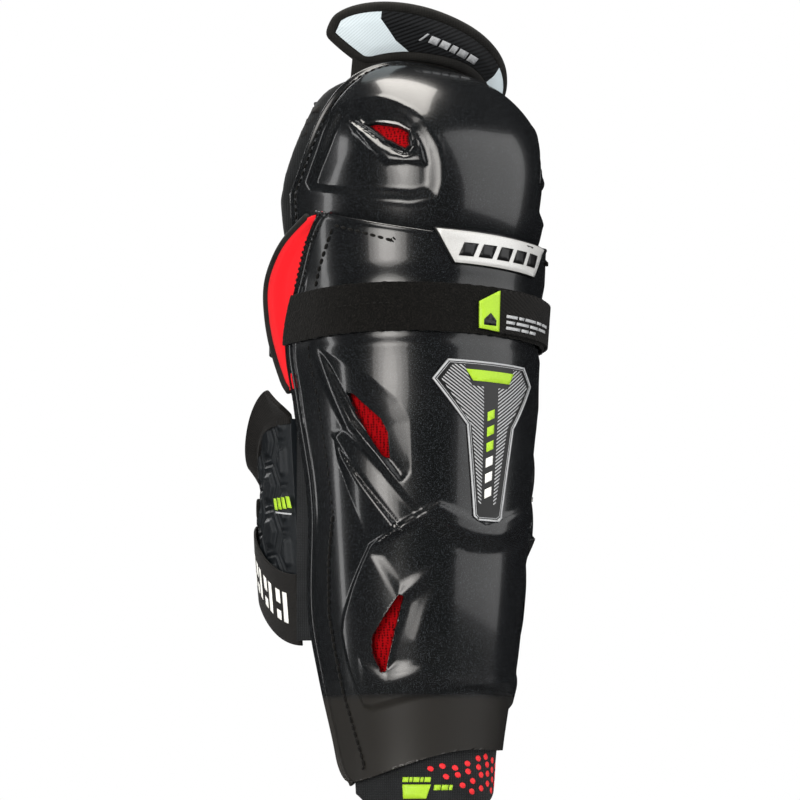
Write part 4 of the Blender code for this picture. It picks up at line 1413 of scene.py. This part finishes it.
def thigh_point(along_x, up, lift=0.0):
    along_x += THIGH_REACH * ease(along_x / THIGH_HALF_WIDTH)
    bend = math.asin(along_x / THIGH_BEND)
    out = lift / math.hypot(1, THIGH_LEAN)
    x = along_x + out * math.sin(bend)
    y = THIGH_PLACE[1] - THIGH_LEAN * up + THIGH_BEND * (1 - math.cos(bend)) - out * math.cos(bend)
    up -= out * THIGH_LEAN
    tilt = math.radians(THIGH_TILT)
    return Vector((
        THIGH_PLACE[0] + x * math.cos(tilt) + up * math.sin(tilt),
        y,
        THIGH_PLACE[2] - x * math.sin(tilt) + up * math.cos(tilt),
    )) * MM


def thigh_edge(share, up):
    round_off = max(1 - abs(share) ** 2.4, 0) ** (1 / 2.4)
    if up > 0:
        return THIGH_UP * round_off
    if share < 0:  # the outer end tapers upwards
        round_off = max(1 - abs(share) ** 1.7, 0) ** (1 / 1.2)
    x = share * THIGH_HALF_WIDTH
    turned = CAP_RADIUS * max(1 - (abs(x) / CAP_HALF_WIDTH) ** 2.75, 0) ** (1 / 2.75)
    tilt = math.radians(THIGH_TILT)
    top = KNEE_CENTRE.z + turned + THIGH_CLEARANCE - THIGH_PLACE[2] + x * math.sin(tilt)
    return max(-THIGH_DOWN * round_off, min(top / math.cos(tilt), THIGH_UP * round_off - 3))


def thigh_chart(reach, inset_by):
    def chart(across, up):
        share = blend(-reach, reach, across)
        low, high = thigh_edge(share, -1) + inset_by, thigh_edge(share, 1) - inset_by
        return share * THIGH_HALF_WIDTH, blend(low, high, up)

    return chart


def thigh_swell(flat):
    """The cushion's crown, which falls off towards its sewn edge."""
    near = []
    for x, up in flat:
        share = x / THIGH_HALF_WIDTH
        near.append(min(up - thigh_edge(share, -1), thigh_edge(share, 1) - up))
    return 1.3 * soft_step(np.array(near), 0, 9) - 1.0


# %% Cushion, panels and lining
bm = wrap(chart_grid(110, 24, thigh_chart(0.985, 0)), thigh_point, thigh_swell)
cushion = finish_piece(
    bm, "thigh_cushion", LINER_KNIT, "thigh_guard", ["thigh_core"], "thigh_black", THIGH_WALL - 0.6,
    round_edge=1.6,
)
swell(cushion, 2.2, 0.7)
OUTER_SEAM = (
    (-47, 26), (-43, 12), (-29.5, 3), (-16, -1.5), (0, 0.6), (20, 3.2), (45, 2.2), (45, -30), (-70, -30),
    (-70, 26),
)
INNER_SEAM = ((50, 26), (48, 15.5), (42, 2.5), (40, -20), (75, -20), (75, 26))


def thigh_face(name, look, node, slot, kept, removed):
    """One panel of the face: the crescent cut along its seams."""
    bm = chart_grid(150, 30, thigh_chart(0.95, 2.2))
    for outline in (*kept, *removed):
        cut_lines(bm, outline)
    gone = {f for outline in removed for f in inside_faces(bm, outline)}
    for outline in kept:
        gone |= set(bm.faces) - set(inside_faces(bm, outline))
    bmesh.ops.delete(bm, geom=list(gone), context="FACES")
    wrap(bm, thigh_point, thigh_swell, lift=1.05)
    return finish_piece(bm, name, look, "thigh_guard", [node], slot, 0.7, round_edge=0.25)


for name, look, node, slot, kept, removed in (
    ("outer_pale_panel", PALE_COATED, "thigh_face_lateral", "thigh_print", [OUTER_SEAM], [INNER_SEAM]),
    ("centre_black_panel", BLACK_COATED, "thigh_face_centre", "thigh_black", [], [OUTER_SEAM, INNER_SEAM]),
    ("inner_pale_panel", PALE_COATED, "thigh_face_medial", "thigh_print", [INNER_SEAM], []),
):
    thigh_face(name, look, node, slot, kept, removed)
marks = bars(-10, 27, 7.6, 11.6, (3, 3, 2, 3, 3), 1.7, 0.6)
marks.append(((-16.5, 6.9), (-12.8, 11.9), (-11.4, 11.9), (-15.1, 6.9)))
printed("thigh_marks", marks, thigh_point, 1.25, PRINT_GREY, "thigh_guard", 3, thigh_swell, 0.3, (1, 1))

bm = wrap(chart_grid(90, 16, thigh_chart(0.9, 2)), thigh_point, None, lift=-THIGH_WALL - 1.0)
finish_piece(
    bm, "thigh_lining_knit", LINER_KNIT, "thigh_guard", ["thigh_lining"], "liner_fabric", 1.4, round_edge=0.5,
)


def crescent_edge(turn):
    share = 0.985 * math.copysign(abs(math.cos(turn)) ** 0.9, math.cos(turn))
    return Vector((share * THIGH_HALF_WIDTH, thigh_edge(share, math.sin(turn))))


edge_points = []
for step in range(150):
    turn = 2 * math.pi * (step + 0.5) / 150
    run = crescent_edge(turn + 0.05) - crescent_edge(turn - 0.05)
    spot = crescent_edge(turn) + Vector((run.y, -run.x)).normalized() * 0.4
    edge_points.append(thigh_point(spot.x, spot.y, -THIGH_WALL / 2 + 0.4))
for _ in range(6):  # eases the kinks at the crescent's corners
    befores, afters = edge_points[-1:] + edge_points[:-1], edge_points[1:] + edge_points[:1]
    edge_points = [(before + here + after) / 3 for before, here, after in zip(befores, edge_points, afters)]
piping("thigh_tape", edge_points, 3.1, TAPE, "thigh_guard", ["thigh_binding"], closed=True)

# %% [markdown]
# ## Hinge web
# A single layer of fabric joins the knee bolster to the thigh guard and is what the guard tilts on. It is put
# on no body.

# %% Web between bolster and thigh guard
WEB_HALF_WIDTH = 50.0
WEB_LENGTH = 20.0  # on its own chart
WEB_LOW_LIFT = -9.0
WEB_TOP_REACH = 78.0  # the cap's width at the web's lower seam


def web_point(x, up, _=0.0):
    turn = math.degrees(math.acos(x / WEB_TOP_REACH))
    spot = rim_spot(turn, 4)
    low = cap_point(spot.x, spot.y, WEB_LOW_LIFT)
    high = thigh_point(x, thigh_edge(x / THIGH_HALF_WIDTH, -1) + 2.5, -THIGH_WALL / 2)
    return low.lerp(high, up / WEB_LENGTH)


bm = chart_grid(60, 10, lambda across, up: (blend(-WEB_HALF_WIDTH, WEB_HALF_WIDTH, across), WEB_LENGTH * up))
web = finish_piece(wrap(bm, web_point), "hinge_web", TAPE, None, wall=0.9, side=0)
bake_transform(web)

# %% [markdown]
# ## Calf guard
# The calf guard is a moulded foam wrap with raised hexagons, a soft flared collar, and a quilted lining. It
# swings open about its seam at the shin's back edge, and the wide lower strap is sewn to it.

# %% The calf's surface
CALF_SECTIONS = (
    (75, 57, 86), (110, 60, 89), (150, 64.5, 90), (184, 67.5, 84), (205, 69, 84), (240, 70, 84),
)
CALF_Y = 30.0
CALF_SQUARENESS = 2.5
CALF_START, CALF_END = 2.5, 78.0
STRAP_WIDTH = 42.0
STRAP_HEIGHTS = (80.0, 116.0, 84.0)
LOWER_WAY = ((0, 122.5), (30, 118), (52, 100), (66, 76), (70, 54), (69, 36), (66.5, 21))


def calf_point(angle, height, lift=0.0):
    turn = math.radians(angle)
    power = 2 / CALF_SQUARENESS
    width = along(CALF_SECTIONS, height, 1) + lift
    depth = along(CALF_SECTIONS, height, 2) + lift
    x = math.copysign(abs(math.cos(turn)) ** power, math.cos(turn))
    return Vector((-width * x, CALF_Y + depth * math.sin(turn) ** power, height)) * MM


GIRTH_STEPS = [calf_point(angle, 150) / MM for angle in range(91)]
GIRTH = [0.0]
for before, after in zip(GIRTH_STEPS, GIRTH_STEPS[1:]):
    GIRTH.append(GIRTH[-1] + (after - before).length)


def strap_low(angle):
    return blend(*STRAP_HEIGHTS[:2], ease(angle / 60))


def collar_low(angle):
    return blend(216, 172, ease((angle - 12) / 60))


def collar_high(angle):
    return min(217 + 1.5 * angle, blend(234, 192, ease((angle - 5) / 50)))


def calf_chart(low, high):
    def chart(across, up):
        angle = blend(CALF_END, CALF_START, across)
        return angle, blend(low(angle), high(angle), up)

    return chart


# %% Hexagons in the foam
HEX_PITCH = 27.0
HEX_CENTRE = (float(np.interp(7, range(91), GIRTH)), 163.0)


def hexagons(flat):
    """A raised block with sloped sides in each cell, and a fine rib round the cell."""
    x = np.interp(flat[:, 0], range(91), GIRTH) - HEX_CENTRE[0]
    y = flat[:, 1] - HEX_CENTRE[1]
    step = HEX_PITCH * math.sqrt(3) / 2
    best = np.full(len(flat), 1e9)
    for column in (np.floor(x / step), np.floor(x / step) + 1):
        offset = (column % 2) * HEX_PITCH / 2
        row = np.round((y - offset) / HEX_PITCH)
        across, up = np.abs(x - column * step), np.abs(y - offset - row * HEX_PITCH)
        best = np.minimum(best, np.maximum(up, across * math.sqrt(3) / 2 + up / 2))
    near_seam = soft_step(flat[:, 0], 5, 9)
    block = 1.6 * (1 - soft_step(best, 6.0, 9.0)) * near_seam
    return block + near_seam * (bead(best, 11.6, 0.5, 0.4) - 0.6 * soft_step(best, 12.3, 13.5))


CALF_QUILT = 26.0


def calf_quilt(flat):
    """Square channels sewn in the lining."""
    places = np.column_stack([np.interp(flat[:, 0], range(91), GIRTH), flat[:, 1]])
    near = np.abs((places / CALF_QUILT + 0.5) % 1 - 0.5).min(axis=1) * CALF_QUILT
    return bead(near, 0, 2.6, 1.0)


pad_chart = calf_chart(lambda a: strap_low(a) + 4, lambda a: collar_low(a) - 1)
bm = wrap(chart_grid(190, 170, pad_chart), calf_point, hexagons, lift=-0.6)
calf_pad = finish_piece(
    bm, "calf_foam_pad", CALF_FOAM, "calf_guard", ["calf_pad"], "calf_moulding", 5.8, round_edge=0.8,
)
lining_chart = calf_chart(lambda a: strap_low(a) + 6, lambda a: collar_low(a) - 3)
bm = wrap(chart_grid(90, 70, lining_chart), calf_point, calf_quilt, lift=-10.2)
calf_lining = finish_piece(
    bm, "calf_lining_knit", LINER_KNIT, "calf_guard", ["calf_lining"], "liner_fabric", 2.6, side=1,
    round_edge=0.8,
)


def flared(angle, height, lift=0.0):
    up = (height - collar_low(angle)) / max(collar_high(angle) - collar_low(angle), 1)
    return calf_point(angle, height, blend(1, 8, min(max(up, 0), 1)) + lift)


bm = wrap(chart_grid(110, 20, calf_chart(lambda a: collar_low(a) - 4, collar_high)), flared, None)
collar = finish_piece(
    bm, "calf_collar_roll", WIDE_ELASTIC, "calf_guard", ["calf_collar"], "liner_fabric", 2.8, round_edge=1.2,
)
slant = ((2.5, 161.5), (4.4, 162), (5.4, 169), (3.5, 168.5))
marks = [tuple((u + k * 2.6, v) for u, v in slant) for k in range(4)]
printed("calf_lime_mark", marks, calf_point, 1.85, PRINT_LIME, "calf_guard", 2, None, 0.3, (1.6, 1))
printed(
    "calf_grey_line", [((2.8, 157.5), (12, 160), (12, 161), (2.8, 158.5))], calf_point, 1.8, PRINT_GREY,
    "calf_guard", 2, None, 0.3, (1.6, 1),
)


# %% Seam strip, from inside the shell's back edge to the seam that the guard swings about
SEAM_X, SEAM_END_Y = -64.2, 36.2
SEAM_LOW, SEAM_HIGH = 83, 216


def seam_point(share, height, lift=0.0):
    tucked = shin_point(2.5 - shell_edge(-1, height), height, -5.8)
    return tucked.lerp(Vector((SEAM_X, SEAM_END_Y, height)) * MM, share) - Vector((1, 0, 0)) * lift * MM


bm = wrap(chart_grid(24, 60, lambda across, up: (1 - across, blend(SEAM_LOW, SEAM_HIGH, up))), seam_point)
finish_piece(bm, "calf_seam_web", LINER_KNIT, "shin", [], None, 1.4, side=0, round_edge=0.3)

# %% [markdown]
# ## Lower strap
# The wide elastic strap runs from the seam round the calf to the inner side, where its hook tab grips a
# pile patch on the shell. A small cord loop at the back is for pulling it tight.

# %% Strap, tab, patch and pull loop
STRAP_LENGTH = 300.0


def lower_strap(u, v, lift=0.0):
    across, up = u / STRAP_LENGTH, v / STRAP_WIDTH
    if across <= 0.5:
        angle = blend(CALF_START, 90, across * 2)
        return calf_point(angle, strap_low(angle) + v, 2.6 + lift)
    share = 2 * across - 1
    x, y = way_point(LOWER_WAY, share)
    height = blend(*STRAP_HEIGHTS[1:], ease(share)) + v
    x += 0.09 * ease(share) * (height - STRAP_HEIGHTS[2] - STRAP_WIDTH / 2)
    ahead = way_point(LOWER_WAY, min(share + 0.01, 1)), way_point(LOWER_WAY, min(share, 0.99))
    run = Vector((ahead[0][0] - ahead[1][0], ahead[0][1] - ahead[1][1])).normalized()
    return Vector((x - run.y * lift, y + run.x * lift, height)) * MM


bm = wrap(chart_grid(230, 26, lambda across, up: (STRAP_LENGTH * across, STRAP_WIDTH * up)), lower_strap)
finish_piece(
    bm, "wide_strap", WIDE_ELASTIC, "calf_guard", ["lower_strap"], "webbing", 1.5, side=1, round_edge=0.4,
)
shapes = []
for k in range(4):
    left = 10 + k * 18.5
    shapes += [
        ((left, 12), (left + 4.5, 12), (left + 4.5, 30), (left, 30)),
        ((left + 7.5, 12), (left + 12.5, 12), (left + 12.5, 17.5), (left + 7.5, 17.5)),
        ((left + 7.5, 22), (left + 12.5, 22), (left + 12.5, 30), (left + 7.5, 30)),
    ]
printed("strap_marks", shapes, lower_strap, -0.15, PRINT_WHITE, "calf_guard", 3, None, 0.5, (1, 1))


def flat_goods(name, look, body, node, reach, low, high, lift, relief=None):
    bm = wrap(chart_grid(70, 60, shin_chart(fixed(reach), fixed(low), fixed(high))), shin_point, relief,
              SHIN_UNIT, lift)
    return finish_piece(bm, name, look, body, [node], None, 1.5, round_edge=0.4)


flat_goods("pile_patch", PILE, "shin", "lower_loop_patch", (72, 108), 82, 128, 2.4, fuzz)
flat_goods("strap_hook_tab", WEBBING, "lower_tab", "lower_hook_tab", (76, 104), 84, 126, 4.3, ribbed)
LOOP_ANGLE = 38
LOOP_AT = calf_point(LOOP_ANGLE, 166, 0.4)
sideways = Vector((math.sin(math.radians(LOOP_ANGLE)), math.cos(math.radians(LOOP_ANGLE)), 0))
ring = [
    LOOP_AT + (sideways * math.cos(t) + Vector((0, 0, 1)) * math.sin(t)) * 5 * MM
    for t in [math.radians(15 * k) for k in range(24)]
]
piping("pull_loop", ring, 1.2, THREAD, "calf_guard", ["strap_pull_loop"], closed=True)

# %% [markdown]
# ## Floor, surroundings and finish
# The guard stands on a pale floor. The room is white to the eye, but mirrors see it dark, so that the gloss
# shows only the lamps.

# %% Floor and surroundings
FLOOR_LEVEL = -0.0195
floor_mesh = bmesh.new()
bmesh.ops.create_circle(floor_mesh, segments=96, radius=0.62, cap_ends=True)
bmesh.ops.translate(floor_mesh, verts=floor_mesh.verts, vec=(0, 0, FLOOR_LEVEL))
mesh = bpy.data.meshes.new("floor")
floor_mesh.to_mesh(mesh)
floor_mesh.free()
painted, tree, shader = new_material("pale_matt_floor_paint", Roughness=0.9)
pale = mix_colours(tree, grain(tree, object_place(tree), 40), linear("#f4f4f4"), linear("#fafafa"))
ray = add_node(tree, "LightPath")
pale = mix_colours(tree, ray.outputs["Is Glossy Ray"], pale, linear("#1c1c1c"))
tree.links.new(pale, shader.inputs["Base Color"])
mesh.materials.append(painted)
put(bpy.data.objects.new("floor", mesh))

bpy.context.scene.view_settings.view_transform = "Standard"
world = bpy.data.worlds.new("studio")
bpy.context.scene.world = world
world.use_nodes = True
tree = world.node_tree
tree.nodes.clear()
ray = add_node(tree, "LightPath")
fill = mix_colours(tree, ray.outputs["Is Glossy Ray"], (0.5, 0.5, 0.51, 1), (0.015, 0.015, 0.016, 1))
seen = mix_colours(tree, ray.outputs["Is Camera Ray"], fill, (1, 1, 1, 1))
background = add_node(tree, "Background", {"Color": seen})
add_node(tree, "OutputWorld", {"Surface": background.outputs[0]})
